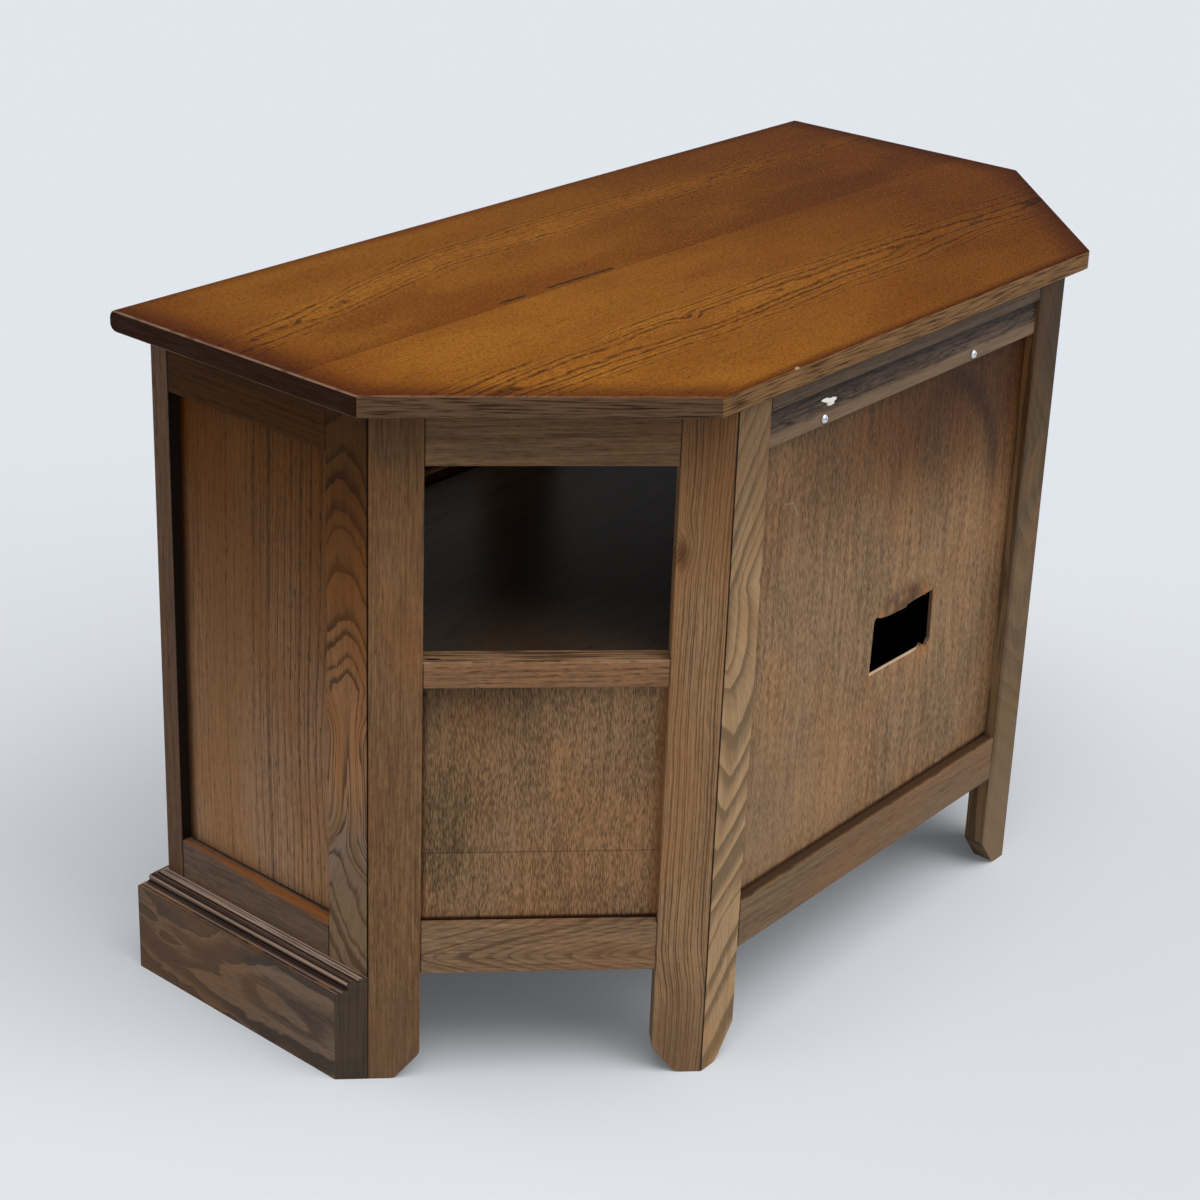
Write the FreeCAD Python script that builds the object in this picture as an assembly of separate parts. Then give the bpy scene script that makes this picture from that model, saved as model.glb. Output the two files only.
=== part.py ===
import FreeCAD, Part
import math
import os
from collections import namedtuple

# A corner cabinet of framed oak. Its plan is a rectangle with both back corners cut off at 45 degrees.
# Every wall is a frame: stiles and rails with a flat panel in a groove, and the stiles of two walls
# meet in a long mitre. The diagonal walls are open above their mid rail. The front has two open bays
# over two doors, and a moulded plinth runs round the front and the sides.
# Millimetres. Z is up, the front faces -Y, and +X is the right side as seen from the front. The origin
# is on the floor, at the middle of the whole object's footprint.

# Overall sizes
cabinet_height = 610.0
carcass_width = 870.0
carcass_depth = 440.0
corner_cut = 196.0                  # how much each back corner is cut off, along the side and the back

# Top board
top_thickness = 18.0
top_overhang_front = 21.0
top_overhang_side = 23.0
top_overhang_diagonal = 24.5
top_overhang_back = 6.0
top_nose_radius = 7.0
top_corner_radius = 3.0
top_edge_ease = 1.2

# Stiles and rails
frame_thickness = 20.0
front_stile_width = 42.5
centre_stile_width = 90.0
side_stile_width = 44.5
diagonal_stile_width = 42.5
back_stile_width = 41.5
top_rail_height = 47.0
mid_rail_height = 22.5
front_mid_rail_height = 42.5
bottom_rail_height = 44.0
bottom_rail_rise = 3.0              # diagonal and back bottom rails above the plinth
skirt_lap = 7.0                     # front and side bottom rails reach this far behind the plinth
arris_ease = 0.6

# Feet: the inner lower corner of each leg is cut off and softened
foot_cut_width = 21.0
foot_cut_height = 24.0
back_foot_cut_width = 23.0
back_foot_cut_height = 30.0
foot_cut_radius = 9.0

# Panels, grooves, mortises and tenons
panel_thickness = 3.5
panel_recess = 10.0
groove_depth = 10.0
panel_edge_gap = 1.0
tenon_length = 18.0
stub_tenon_length = 9.0
tenon_thickness = 6.0
tenon_shoulder = 4.0
mortise_end_gap = 1.0

# Shelf, floor and the cleats under them
shelf_level = 382.0                 # upper face of the shelf and of the diagonal mid rails
shelf_thickness = 18.0
shelf_front_gap = 10.0
floor_thickness = 15.0
cleat_size = 18.0
cleat_end_inset = 16.0

# Ledge along the inner upper edge of the front mid rails, with a thin lip left in front of it
mid_rail_lip_thickness = 8.0
mid_rail_lip_height = 15.0

# Batten that covers the upper edge of the back panel, and its screws
batten_thickness = 7.5
batten_height = 31.5
batten_top_gap = 0.5
back_strip_height = 14.0            # part of the back top rail that shows above the batten
right_screw_share = 0.62            # from the middle of the batten, as a share of half its length
left_screw_share = 0.49
screw_rise = 5.5                    # screw axis above the lower edge of the batten
screw_head_radius = 3.7
screw_head_height = 1.8
screw_head_chamfer = 1.0
screw_cross_length = 4.2
screw_cross_width = 0.9
screw_cross_depth = 1.2
screw_shank_radius = 1.6
screw_length = 15.0
screw_hole_gap = 0.1

# Cable hole, sawn out of the back panel by hand: its ragged corners as shares of its width and height
cable_hole_width = 94.0
cable_hole_height = 56.0
cable_hole_offset = 33.0            # middle of the hole, to the left of the middle of the back
cable_hole_level = 309.0
cable_hole_corner_shares = [(-0.45, 0.50), (-0.48, 0.45), (-0.50, -0.47), (0.34, -0.48), (0.37, -0.42),
                            (0.39, -0.47), (0.46, -0.50), (0.51, -0.39), (0.50, 0.46), (0.17, 0.45),
                            (0.06, 0.44), (0.05, 0.40), (-0.25, 0.42), (-0.37, 0.45)]

# Plinth, and the moulding along its upper edge from the wall outwards
plinth_height = 98.0
plinth_projection = 19.0
moulding_drop = 16.0
moulding_inner_fillet = 1.4
moulding_small_bead = 3.6
moulding_large_bead = 6.4
moulding_quirk_width = 1.0
moulding_quirk_depth = 1.2
moulding_outer_fillet = 1.4
bead_rise_share = 0.42
cove_rise_share = -0.20

# Doors
door_gap = 2.0
door_stile_width = 45.0
door_rail_height = 45.0
door_field_rise = 6.0
door_field_bevel = 22.0
door_field_margin = 0.5

# Knobs
knob_level = 296.0
knob_projection = 20.0
knob_head_radius = 12.0
knob_head_thickness = 8.0
knob_head_chamfer = 1.0
knob_neck_radius = 4.5
knob_foot_radius = 8.5
knob_foot_height = 2.5
knob_spigot_radius = 3.0
knob_spigot_length = 10.0
knob_spigot_gap = 0.1

# Butt hinges
hinge_height = 50.0
hinge_end_distance = 28.0
hinge_leaf_thickness = 1.5
hinge_leaf_depth = 15.0
hinge_knuckle_radius = 3.5
hinge_knuckle_count = 3
hinge_knuckle_gap = 0.3
hinge_face_gap = 0.2
hinge_pin_radius = 1.5
hinge_pin_gap = 0.08

# Magnetic catches behind the centre stile, and the plates on the doors that they hold
catch_height = 30.0
catch_drop = 6.0
catch_base_width = 20.0
catch_reach = 15.0
catch_depth = 13.0
catch_gap = 0.3
strike_thickness = 1.0
strike_height = 24.0
strike_width = 10.0
strike_inset = 2.0

# Places worked out from the sizes above
turn = math.pi / 4                  # each wall turns by this much from the one before
mitre_run = frame_thickness * math.tan(turn / 2)
diagonal_ratio = 1 / math.sin(turn)
top_underside = cabinet_height - top_thickness
half_width = carcass_width / 2
side_length = carcass_depth - corner_cut
back_half = half_width - corner_cut
back_length = 2 * back_half
diagonal_length = corner_cut * diagonal_ratio
front_y = -(carcass_depth + top_overhang_back - top_overhang_front) / 2
back_y = front_y + carcass_depth
stile_back_y = front_y + frame_thickness
bay_edge = half_width - front_stile_width
centre_edge = centre_stile_width / 2
panel_back = panel_recess + panel_thickness
tenon_back = panel_recess + tenon_thickness
panel_tongue = groove_depth - panel_edge_gap
grooved_shoulder = groove_depth + mortise_end_gap
mortise_depth = tenon_length + mortise_end_gap
batten_top = top_underside - back_strip_height - batten_top_gap
batten_level = batten_top - batten_height
batten_half = back_half - back_stile_width
batten_face = panel_recess - batten_thickness
screw_level = batten_level + screw_rise

# Rails by their levels, with a groove for a panel below or above them
Rail = namedtuple("Rail", "low high groove_below groove_above lip", defaults=(False, False, 0))
skirt_low = plinth_height - skirt_lap
skirt_top = skirt_low + bottom_rail_height
bottom_rail_level = plinth_height + bottom_rail_rise
mid_rail_level = shelf_level - mid_rail_height
top_rail_level = top_underside - top_rail_height
open_top = Rail(top_rail_level, top_underside)
panelled_top = Rail(top_rail_level, top_underside, groove_below=True)
open_skirt = Rail(skirt_low, skirt_top)
panelled_skirt = Rail(skirt_low, skirt_top, groove_above=True)
panelled_bottom = Rail(bottom_rail_level, bottom_rail_level + bottom_rail_height, groove_above=True)
panelled_mid = Rail(mid_rail_level, shelf_level, groove_below=True)
front_mid = Rail(mid_rail_level, mid_rail_level + front_mid_rail_height, lip=mid_rail_lip_height)

# The right door and its hardware
door_low = skirt_top + door_gap
door_high = mid_rail_level - door_gap
door_inner = centre_edge + door_gap
door_outer = bay_edge - door_gap
door_lower = Rail(door_low, door_low + door_rail_height, groove_above=True)
door_upper = Rail(door_high - door_rail_height, door_high, groove_below=True)
hinge_x = bay_edge - door_gap / 2
hinge_y = front_y - hinge_knuckle_radius - hinge_face_gap
hinge_levels = [door_low + hinge_end_distance, door_high - hinge_end_distance - hinge_height]
knob_x = door_inner + door_stile_width / 2

nodes = {}


def keep(name, shape):
    nodes[name] = shape


def keep_pair(name, right_shape):
    keep("right_" + name, right_shape)
    keep("left_" + name, mirrored(right_shape))


# Placing. Each wall has a local frame: X along its outer face, Y inwards, and Z up.

def wall_frame(x, y, angle):
    return FreeCAD.Placement(FreeCAD.Vector(x, y, 0), FreeCAD.Rotation(FreeCAD.Vector(0, 0, 1), angle))


front_wall = wall_frame(-half_width, front_y, 0)
side_wall = wall_frame(half_width, front_y, 90)
diagonal_wall = wall_frame(half_width, front_y + side_length, 135)
back_wall = wall_frame(back_half, back_y, 180)
door_wall = wall_frame(0, front_y, 0)


def placed(shape, frame):
    return shape.transformed(frame.toMatrix(), copy=True)


def mirrored(shape):
    return shape.mirror(FreeCAD.Vector(0, 0, 0), FreeCAD.Vector(1, 0, 0))


def flipped(shape, length):
    """The same piece at the other end of a wall of this length."""
    return shape.mirror(FreeCAD.Vector(length / 2, 0, 0), FreeCAD.Vector(1, 0, 0))


# Basic shapes

def block(x0, x1, y0, y1, z0, z1):
    return Part.makeBox(x1 - x0, y1 - y0, z1 - z0, FreeCAD.Vector(x0, y0, z0))


def upright_rod(radius, x, y, low, high):
    return Part.makeCylinder(radius, high - low, FreeCAD.Vector(x, y, low))


def level_rod(radius, x, y0, y1, z):
    return Part.makeCylinder(radius, y1 - y0, FreeCAD.Vector(x, y0, z), FreeCAD.Vector(0, 1, 0))


def corner_points(corners, index):
    """Start, middle and end of the arc at a corner (u, v, radius), or the same point three times."""
    u, v = corners[index][:2]
    radius = corners[index][2] if len(corners[index]) > 2 else 0
    if radius == 0:
        return (u, v), (u, v), (u, v)
    before = corners[index - 1]
    after = corners[(index + 1) % len(corners)]
    to_before = FreeCAD.Vector(before[0] - u, before[1] - v, 0).normalize()
    to_after = FreeCAD.Vector(after[0] - u, after[1] - v, 0).normalize()
    inwards = (to_before + to_after).normalize()
    half_angle = to_before.getAngle(to_after) / 2
    reach = radius / math.tan(half_angle)
    depth = radius / math.sin(half_angle) - radius
    start = (u + to_before.x * reach, v + to_before.y * reach)
    end = (u + to_after.x * reach, v + to_after.y * reach)
    return start, (u + inwards.x * depth, v + inwards.y * depth), end


def outline(corners, place):
    """Closed wire through corners (u, v) or (u, v, radius), where place turns u, v into a point."""
    arcs = [corner_points(corners, index) for index in range(len(corners))]
    edges = []
    for index, (start, middle, end) in enumerate(arcs):
        if start != end:
            edges.append(Part.Arc(place(*start), place(*middle), place(*end)).toShape())
        following = arcs[(index + 1) % len(arcs)][0]
        edges.append(Part.LineSegment(place(*end), place(*following)).toShape())
    return Part.Wire(edges)


def plan_prism(corners, low, high):
    """Solid with an outline in plan, from one level to another."""
    wire = outline(corners, lambda u, v: FreeCAD.Vector(u, v, low))
    return Part.Face(wire).extrude(FreeCAD.Vector(0, 0, high - low))


def front_prism(corners, near, far):
    """Solid with an outline seen square to the wall, from one depth to another."""
    wire = outline(corners, lambda u, v: FreeCAD.Vector(u, near, v))
    return Part.Face(wire).extrude(FreeCAD.Vector(0, far - near, 0))


def section_prism(corners, start, end):
    """Solid with an outline of depth and level, which runs along the wall."""
    wire = outline(corners, lambda u, v: FreeCAD.Vector(start, u, v))
    return Part.Face(wire).extrude(FreeCAD.Vector(end - start, 0, 0))


# Frame members, drawn in the local frame of a wall

def stile_plan(start, end):
    """Square stile with its two outer arrises eased."""
    return [(start + arris_ease, 0), (end - arris_ease, 0), (end, arris_ease), (end, frame_thickness),
            (start, frame_thickness), (start, arris_ease)]


def mitred_stile(width, cut_width=foot_cut_width, cut_height=foot_cut_height):
    """Stile whose edge at X 0 is mitred against the next wall. It runs to the floor as a leg."""
    plan = stile_plan(0, width)
    mitre_ease = mitre_run * arris_ease / frame_thickness
    plan[-2:] = [(mitre_run, frame_thickness), (mitre_ease, arris_ease)]
    stile = plan_prism(plan, 0, top_underside)
    face = [(0, 0), (width - cut_width, 0, foot_cut_radius), (width, cut_height, foot_cut_radius),
            (width, top_underside), (0, top_underside)]
    return stile.common(front_prism(face, 0, frame_thickness))


def in_groove(start, end, low, high):
    """Block in the depth of the grooves and their panels."""
    return block(start, end, panel_recess, panel_back, low, high)


def in_mortise(start, end, low, high):
    """Block in the depth of the mortises and their tenons."""
    return block(start, end, panel_recess, tenon_back, low, high)


def tenon_levels(spec):
    low_shoulder = grooved_shoulder if spec.groove_below else tenon_shoulder
    high_shoulder = grooved_shoulder if spec.groove_above else tenon_shoulder
    return spec.low + low_shoulder, spec.high - spec.lip - high_shoulder


def rail(spec, start, end, start_tenon=tenon_length, end_tenon=tenon_length):
    """Rail from one stile to the next, with a tenon at each end and a groove for each panel."""
    section = [(arris_ease, spec.low), (frame_thickness, spec.low), (frame_thickness, spec.high),
               (arris_ease, spec.high), (0, spec.high - arris_ease), (0, spec.low + arris_ease)]
    shape = section_prism(section, start, end)
    low, high = tenon_levels(spec)
    for tenon_start, tenon_end in ((start - start_tenon, start), (end, end + end_tenon)):
        shape = shape.fuse(in_mortise(tenon_start, tenon_end, low, high))
    if spec.groove_below:
        shape = shape.cut(in_groove(start, end, spec.low, spec.low + groove_depth))
    if spec.groove_above:
        shape = shape.cut(in_groove(start, end, spec.high - groove_depth, spec.high))
    return shape.removeSplitter()


def mortised(stile, edge, inwards, specs):
    """Cuts a mortise for each rail from the edge of a stile into its wood."""
    end = edge + inwards * mortise_depth
    for spec in specs:
        stile = stile.cut(in_mortise(min(edge, end), max(edge, end), *tenon_levels(spec)))
    return stile


def grooved(stile, edge, inwards, lower, upper):
    """Cuts the stopped groove for the panel between two rails."""
    end = edge + inwards * groove_depth
    return stile.cut(in_groove(min(edge, end), max(edge, end), lower.high - groove_depth,
                               upper.low + groove_depth))


def panel(start, end, lower, upper):
    return in_groove(start - panel_tongue, end + panel_tongue, lower.high - panel_tongue,
                     upper.low + panel_tongue)


# Top board: a rounded nose along the front, and eased edges elsewhere

def make_top():
    side_x = half_width + top_overhang_side
    nose_y = front_y - top_overhang_front
    rear_y = back_y + top_overhang_back
    diagonal_sum = half_width + front_y + side_length + top_overhang_diagonal * diagonal_ratio
    side_end = diagonal_sum - side_x
    rear_end = diagonal_sum - rear_y
    plan = [(side_x, nose_y), (side_x, side_end, top_corner_radius), (rear_end, rear_y, top_corner_radius),
            (-rear_end, rear_y, top_corner_radius), (-side_x, side_end, top_corner_radius),
            (-side_x, nose_y)]
    plate = plan_prism(plan, top_underside, cabinet_height)
    section = [(nose_y, top_underside, top_nose_radius), (rear_y, top_underside),
               (rear_y, cabinet_height), (nose_y, cabinet_height, top_nose_radius)]
    board = plate.common(section_prism(section, -side_x, side_x))
    rim = [edge for edge in board.Edges if edge.BoundBox.YMax > front_y and is_level(edge)]
    return board.makeChamfer(top_edge_ease, rim)


def is_level(edge):
    return edge.BoundBox.ZLength < top_edge_ease


# Front frame

def make_front_stile():
    """Stile that shows its face from the front and its edge from the side."""
    stile = plan_prism(stile_plan(0, front_stile_width), 0, top_underside)
    stile = mortised(stile, front_stile_width, -1, [open_top, open_skirt, front_mid])
    seat = frame_thickness - stub_tenon_length - mortise_end_gap
    for spec in (panelled_top, panelled_skirt):
        stile = stile.cut(block(panel_recess, tenon_back, seat, frame_thickness, *tenon_levels(spec)))
    stile = stile.cut(block(panel_recess, panel_back, frame_thickness - groove_depth, frame_thickness,
                            panelled_skirt.high - groove_depth, panelled_top.low + groove_depth))
    for low in hinge_levels:
        stile = stile.cut(block(front_stile_width - hinge_leaf_thickness, front_stile_width, 0,
                                hinge_leaf_depth, low, low + hinge_height))
    return flipped(stile, carcass_width)


def centre_tenon(low, high):
    """Tenon of the centre stile, or the mortise for it, between two levels."""
    reach = centre_edge - grooved_shoulder
    return in_mortise(half_width - reach, half_width + reach, low, high)


def make_centre_stile():
    left = half_width - centre_edge
    right = half_width + centre_edge
    stile = plan_prism(stile_plan(left, right), open_skirt.high, open_top.low)
    stile = stile.fuse(centre_tenon(open_skirt.high - tenon_length, open_skirt.high))
    stile = stile.fuse(centre_tenon(open_top.low, open_top.low + tenon_length))
    stile = mortised(stile, left, 1, [front_mid])
    return mortised(stile, right, -1, [front_mid])


def make_front_mid_rail():
    """Right mid rail, with a ledge along its inner upper edge behind a thin lip."""
    start = half_width + centre_edge
    end = half_width + bay_edge
    ledge = block(start, end, mid_rail_lip_thickness, frame_thickness, front_mid.high - front_mid.lip,
                  front_mid.high)
    return rail(front_mid, start, end).cut(ledge)


def make_front_frame():
    start = front_stile_width
    end = carcass_width - front_stile_width
    upper = rail(open_top, start, end)
    upper = upper.cut(centre_tenon(open_top.low, open_top.low + mortise_depth))
    lower = rail(open_skirt, start, end)
    lower = lower.cut(centre_tenon(open_skirt.high - mortise_depth, open_skirt.high))
    keep_pair("front_stile", placed(make_front_stile(), front_wall))
    keep("front_centre_stile", placed(make_centre_stile(), front_wall))
    keep("front_top_rail", placed(upper, front_wall))
    keep("front_bottom_rail", placed(lower, front_wall))
    keep_pair("front_mid_rail", placed(make_front_mid_rail(), front_wall))


# Side frames: their rails run into the back of the front stile with stub tenons

def make_side_frame():
    start = frame_thickness
    end = side_length - side_stile_width
    stile = mitred_stile(side_stile_width)
    stile = mortised(stile, side_stile_width, -1, [panelled_top, panelled_skirt])
    stile = grooved(stile, side_stile_width, -1, panelled_skirt, panelled_top)
    upper = rail(panelled_top, start, end, start_tenon=stub_tenon_length)
    lower = rail(panelled_skirt, start, end, start_tenon=stub_tenon_length)
    keep_pair("side_rear_stile", placed(flipped(stile, side_length), side_wall))
    keep_pair("side_top_rail", placed(upper, side_wall))
    keep_pair("side_bottom_rail", placed(lower, side_wall))
    keep_pair("side_panel", placed(panel(start, end, panelled_skirt, panelled_top), side_wall))


# Diagonal frames: open above the mid rail and panelled below it

def make_diagonal_frame():
    start = diagonal_stile_width
    end = diagonal_length - diagonal_stile_width
    stile = mitred_stile(diagonal_stile_width)
    stile = mortised(stile, start, -1, [open_top, panelled_mid, panelled_bottom])
    stile = grooved(stile, start, -1, panelled_bottom, panelled_mid)
    keep_pair("diagonal_front_stile", placed(stile, diagonal_wall))
    keep_pair("diagonal_rear_stile", placed(flipped(stile, diagonal_length), diagonal_wall))
    for name, spec in (("top", open_top), ("mid", panelled_mid), ("bottom", panelled_bottom)):
        keep_pair("diagonal_" + name + "_rail", placed(rail(spec, start, end), diagonal_wall))
    sheet = panel(start, end, panelled_bottom, panelled_mid)
    keep_pair("diagonal_panel", placed(sheet, diagonal_wall))


# Back frame: a screwed batten lies over the upper edge of its panel

def screw_places():
    return [back_half - right_screw_share * batten_half, back_half + left_screw_share * batten_half]


def drilled(shape, near, far):
    for place in screw_places():
        shape = shape.cut(level_rod(screw_shank_radius + screw_hole_gap, place, near, far, screw_level))
    return shape


def make_screw(place):
    """Round-headed screw with a cross recess."""
    profile = [(0, screw_length), (screw_shank_radius, screw_length), (screw_shank_radius, 0),
               (screw_head_radius, 0), (screw_head_radius, screw_head_chamfer - screw_head_height),
               (screw_head_radius - screw_head_chamfer, -screw_head_height), (0, -screw_head_height)]
    wire = outline(profile, lambda u, v: FreeCAD.Vector(place + u, batten_face + v, screw_level))
    axis_point = FreeCAD.Vector(place, batten_face, screw_level)
    screw = Part.Face(wire).revolve(axis_point, FreeCAD.Vector(0, 1, 0), 360)
    head_face = batten_face - screw_head_height
    for half_run, half_rise in ((screw_cross_length / 2, screw_cross_width / 2),
                                (screw_cross_width / 2, screw_cross_length / 2)):
        screw = screw.cut(block(place - half_run, place + half_run, head_face,
                                head_face + screw_cross_depth, screw_level - half_rise,
                                screw_level + half_rise))
    return screw


def make_cable_hole():
    corners = []
    for across, up in cable_hole_corner_shares:
        corners.append((back_half + cable_hole_offset + across * cable_hole_width,
                        cable_hole_level + up * cable_hole_height))
    return front_prism(corners, panel_recess, panel_back)


def make_batten(start, end):
    section = [(batten_face, batten_level, arris_ease), (panel_recess, batten_level),
               (panel_recess, batten_top), (batten_face, batten_top, arris_ease)]
    return drilled(section_prism(section, start, end), batten_face, panel_recess)


def make_back_frame():
    start = back_stile_width
    end = back_length - back_stile_width
    stile = mitred_stile(back_stile_width, back_foot_cut_width, back_foot_cut_height)
    stile = mortised(stile, start, -1, [panelled_top, panelled_bottom])
    stile = placed(grooved(stile, start, -1, panelled_bottom, panelled_top), back_wall)
    rebate = block(start, end, 0, panel_recess, panelled_top.low, top_underside - back_strip_height)
    upper = rail(panelled_top, start, end).cut(rebate)
    upper = drilled(upper, panel_recess, batten_face + screw_length + screw_hole_gap)
    sheet = panel(start, end, panelled_bottom, panelled_top).cut(make_cable_hole())
    screws = Part.makeCompound([make_screw(place) for place in screw_places()])
    keep("back_right_stile", stile)
    keep("back_left_stile", mirrored(stile))
    keep("back_top_rail", placed(upper, back_wall))
    keep("back_bottom_rail", placed(rail(panelled_bottom, start, end), back_wall))
    keep("back_panel", placed(drilled(sheet, panel_recess, panel_back), back_wall))
    keep("back_batten", placed(make_batten(start, end), back_wall))
    keep("batten_screws", placed(screws, back_wall))


# Shelf and floor fill the plan inside the frames

def inside_plan(front_gap):
    """Outline of the space inside the walls, starting this far behind the front frame."""
    side_x = half_width - frame_thickness
    rear_y = back_y - frame_thickness
    diagonal_sum = half_width + front_y + side_length - frame_thickness * diagonal_ratio
    right = [(side_x, stile_back_y + front_gap), (side_x, diagonal_sum - side_x),
             (diagonal_sum - rear_y, rear_y)]
    return right + [(-x, y) for x, y in reversed(right)]


def cleats(level):
    """Square strips under a board: one along each side and one along the back."""
    side_x = half_width - frame_thickness
    rear_y = back_y - frame_thickness
    right = block(side_x - cleat_size, side_x, stile_back_y, front_y + side_length - frame_thickness,
                  level - cleat_size, level)
    reach = back_half - mitre_run - cleat_end_inset
    rear = block(-reach, reach, rear_y - cleat_size, rear_y, level - cleat_size, level)
    return [right, mirrored(right), rear]


def make_boards():
    shelf_underside = shelf_level - shelf_thickness
    floor_underside = skirt_top - floor_thickness
    keep("shelf", plan_prism(inside_plan(shelf_front_gap), shelf_underside, shelf_level))
    keep("floor_board", plan_prism(inside_plan(0), floor_underside, skirt_top))
    keep("support_cleats", Part.makeCompound(cleats(shelf_underside) + cleats(floor_underside)))


# Plinth: one moulded section, mitred at the front corners and cut flush with the diagonal walls

def plinth_section():
    """Face of the section. Its depth runs from 0 at the wall to minus the projection."""
    slope = moulding_drop / plinth_projection
    shoulder = plinth_height - moulding_drop
    small_end = moulding_inner_fillet + moulding_small_bead
    large_end = small_end + moulding_large_bead
    cove_start = large_end + moulding_quirk_width
    cove_end = plinth_projection - moulding_outer_fillet

    def on_slope(depth):
        return FreeCAD.Vector(0, -depth, plinth_height - slope * depth)

    def curve(start, end, rise_share):
        rise = (end - start) * rise_share
        middle = on_slope((start + end) / 2) + FreeCAD.Vector(0, -rise * slope, rise)
        return Part.Arc(on_slope(start), middle, on_slope(end)).toShape()

    quirk_low = on_slope(cove_start).z - moulding_quirk_depth
    quirk = [on_slope(large_end), FreeCAD.Vector(0, -large_end, quirk_low),
             FreeCAD.Vector(0, -cove_start, quirk_low), on_slope(cove_start)]
    body = [on_slope(cove_end), FreeCAD.Vector(0, -cove_end, shoulder),
            FreeCAD.Vector(0, -plinth_projection, shoulder), FreeCAD.Vector(0, -plinth_projection, 0),
            FreeCAD.Vector(0, 0, 0), on_slope(0), FreeCAD.Vector(0, -moulding_inner_fillet, plinth_height),
            on_slope(moulding_inner_fillet)]
    edges = [curve(moulding_inner_fillet, small_end, bead_rise_share),
             curve(small_end, large_end, bead_rise_share)]
    edges += [Part.LineSegment(*pair).toShape() for pair in zip(quirk, quirk[1:])]
    edges.append(curve(cove_start, cove_end, cove_rise_share))
    edges += [Part.LineSegment(*pair).toShape() for pair in zip(body, body[1:])]
    return Part.Face(Part.Wire(edges))


def plinth_length(length, wall):
    """Plinth along a wall, with enough to spare at both ends for its mitres."""
    shape = plinth_section().extrude(FreeCAD.Vector(length + 2 * plinth_projection, 0, 0))
    shape.translate(FreeCAD.Vector(-plinth_projection, 0, 0))
    return placed(shape, wall)


def sawn(shape, x, y, angle):
    """Takes off what lies left of a vertical cut through a point, looking along this angle."""
    reach = carcass_width
    waste = block(-reach, reach, 0, reach, 0, plinth_height)
    return shape.cut(placed(waste, wall_frame(x, y, angle)))


def make_plinth():
    front = plinth_length(carcass_width, front_wall)
    for end in range(2):
        front = mirrored(sawn(front, half_width, front_y, -45))
    side = plinth_length(side_length, side_wall)
    side = sawn(side, half_width, front_y, 135)
    side = sawn(side, half_width, front_y + side_length, -45)
    keep("plinth_front", front)
    keep_pair("plinth_side", side)


# Doors: a frame with a fielded panel each

def fielded_panel(start, end):
    """Panel with a thin tongue all round and a raised field with bevelled sides."""
    low = door_lower.high
    high = door_upper.low
    field = Part.makeWedge(start + door_field_bevel, panel_recess - door_field_rise,
                           low + door_field_bevel, low + door_field_margin, start + door_field_margin,
                           end - door_field_bevel, panel_recess, high - door_field_bevel,
                           high - door_field_margin, end - door_field_margin)
    return panel(start, end, door_lower, door_upper).fuse(field).removeSplitter()


def make_door_frame():
    start = door_inner + door_stile_width
    end = door_outer - door_stile_width
    closing = plan_prism(stile_plan(door_inner, start), door_low, door_high)
    closing = mortised(closing, start, -1, [door_lower, door_upper])
    closing = grooved(closing, start, -1, door_lower, door_upper)
    closing = closing.cut(level_rod(knob_spigot_radius + knob_spigot_gap, knob_x, 0,
                                    knob_spigot_length + knob_spigot_gap, knob_level))
    hanging = plan_prism(stile_plan(end, door_outer), door_low, door_high)
    hanging = mortised(hanging, end, 1, [door_lower, door_upper])
    hanging = grooved(hanging, end, 1, door_lower, door_upper)
    for low in hinge_levels:
        hanging = hanging.cut(block(door_outer - hinge_leaf_thickness, door_outer, 0, hinge_leaf_depth,
                                    low, low + hinge_height))
    keep_pair("door_closing_stile", placed(closing, door_wall))
    keep_pair("door_hinge_stile", placed(hanging, door_wall))
    keep_pair("door_top_rail", placed(rail(door_upper, start, end), door_wall))
    keep_pair("door_bottom_rail", placed(rail(door_lower, start, end), door_wall))
    keep_pair("door_panel", placed(fielded_panel(start, end), door_wall))


def make_knob():
    """Turned knob: foot, neck and head, with a spigot into the door."""
    head_start = knob_projection - knob_head_thickness
    profile = [(0, -knob_spigot_length), (knob_spigot_radius, -knob_spigot_length),
               (knob_spigot_radius, 0), (knob_foot_radius, 0), (knob_foot_radius, knob_foot_height),
               (knob_neck_radius, knob_foot_height), (knob_neck_radius, head_start),
               (knob_head_radius, head_start), (knob_head_radius, knob_projection - knob_head_chamfer),
               (knob_head_radius - knob_head_chamfer, knob_projection), (0, knob_projection)]
    wire = outline(profile, lambda u, v: FreeCAD.Vector(knob_x + u, front_y - v, knob_level))
    axis_point = FreeCAD.Vector(knob_x, front_y, knob_level)
    keep_pair("door_knob", Part.Face(wire).revolve(axis_point, FreeCAD.Vector(0, 1, 0), 360))


# Hinges: leaves let into both edges, with knuckles in front of the faces

def hinge_leaf(low, side, knuckles):
    """Leaf with some of the knuckles. Side is 1 on the cabinet and -1 on the door."""
    near = hinge_x + side * door_gap / 2
    far = near + side * hinge_leaf_thickness
    left = min(near, far)
    right = max(near, far)
    leaf = block(left, right, front_y, front_y + hinge_leaf_depth, low, low + hinge_height)
    pitch = hinge_height / hinge_knuckle_count
    for index in knuckles:
        below = hinge_knuckle_gap / 2 if index > 0 else 0
        above = hinge_knuckle_gap / 2 if index < hinge_knuckle_count - 1 else 0
        start = low + index * pitch + below
        end = low + (index + 1) * pitch - above
        leaf = leaf.fuse(block(left, right, hinge_y, front_y, start, end))
        leaf = leaf.fuse(upright_rod(hinge_knuckle_radius, hinge_x, hinge_y, start, end))
    bore = upright_rod(hinge_pin_radius + hinge_pin_gap, hinge_x, hinge_y, low, low + hinge_height)
    return leaf.cut(bore).removeSplitter()


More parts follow.
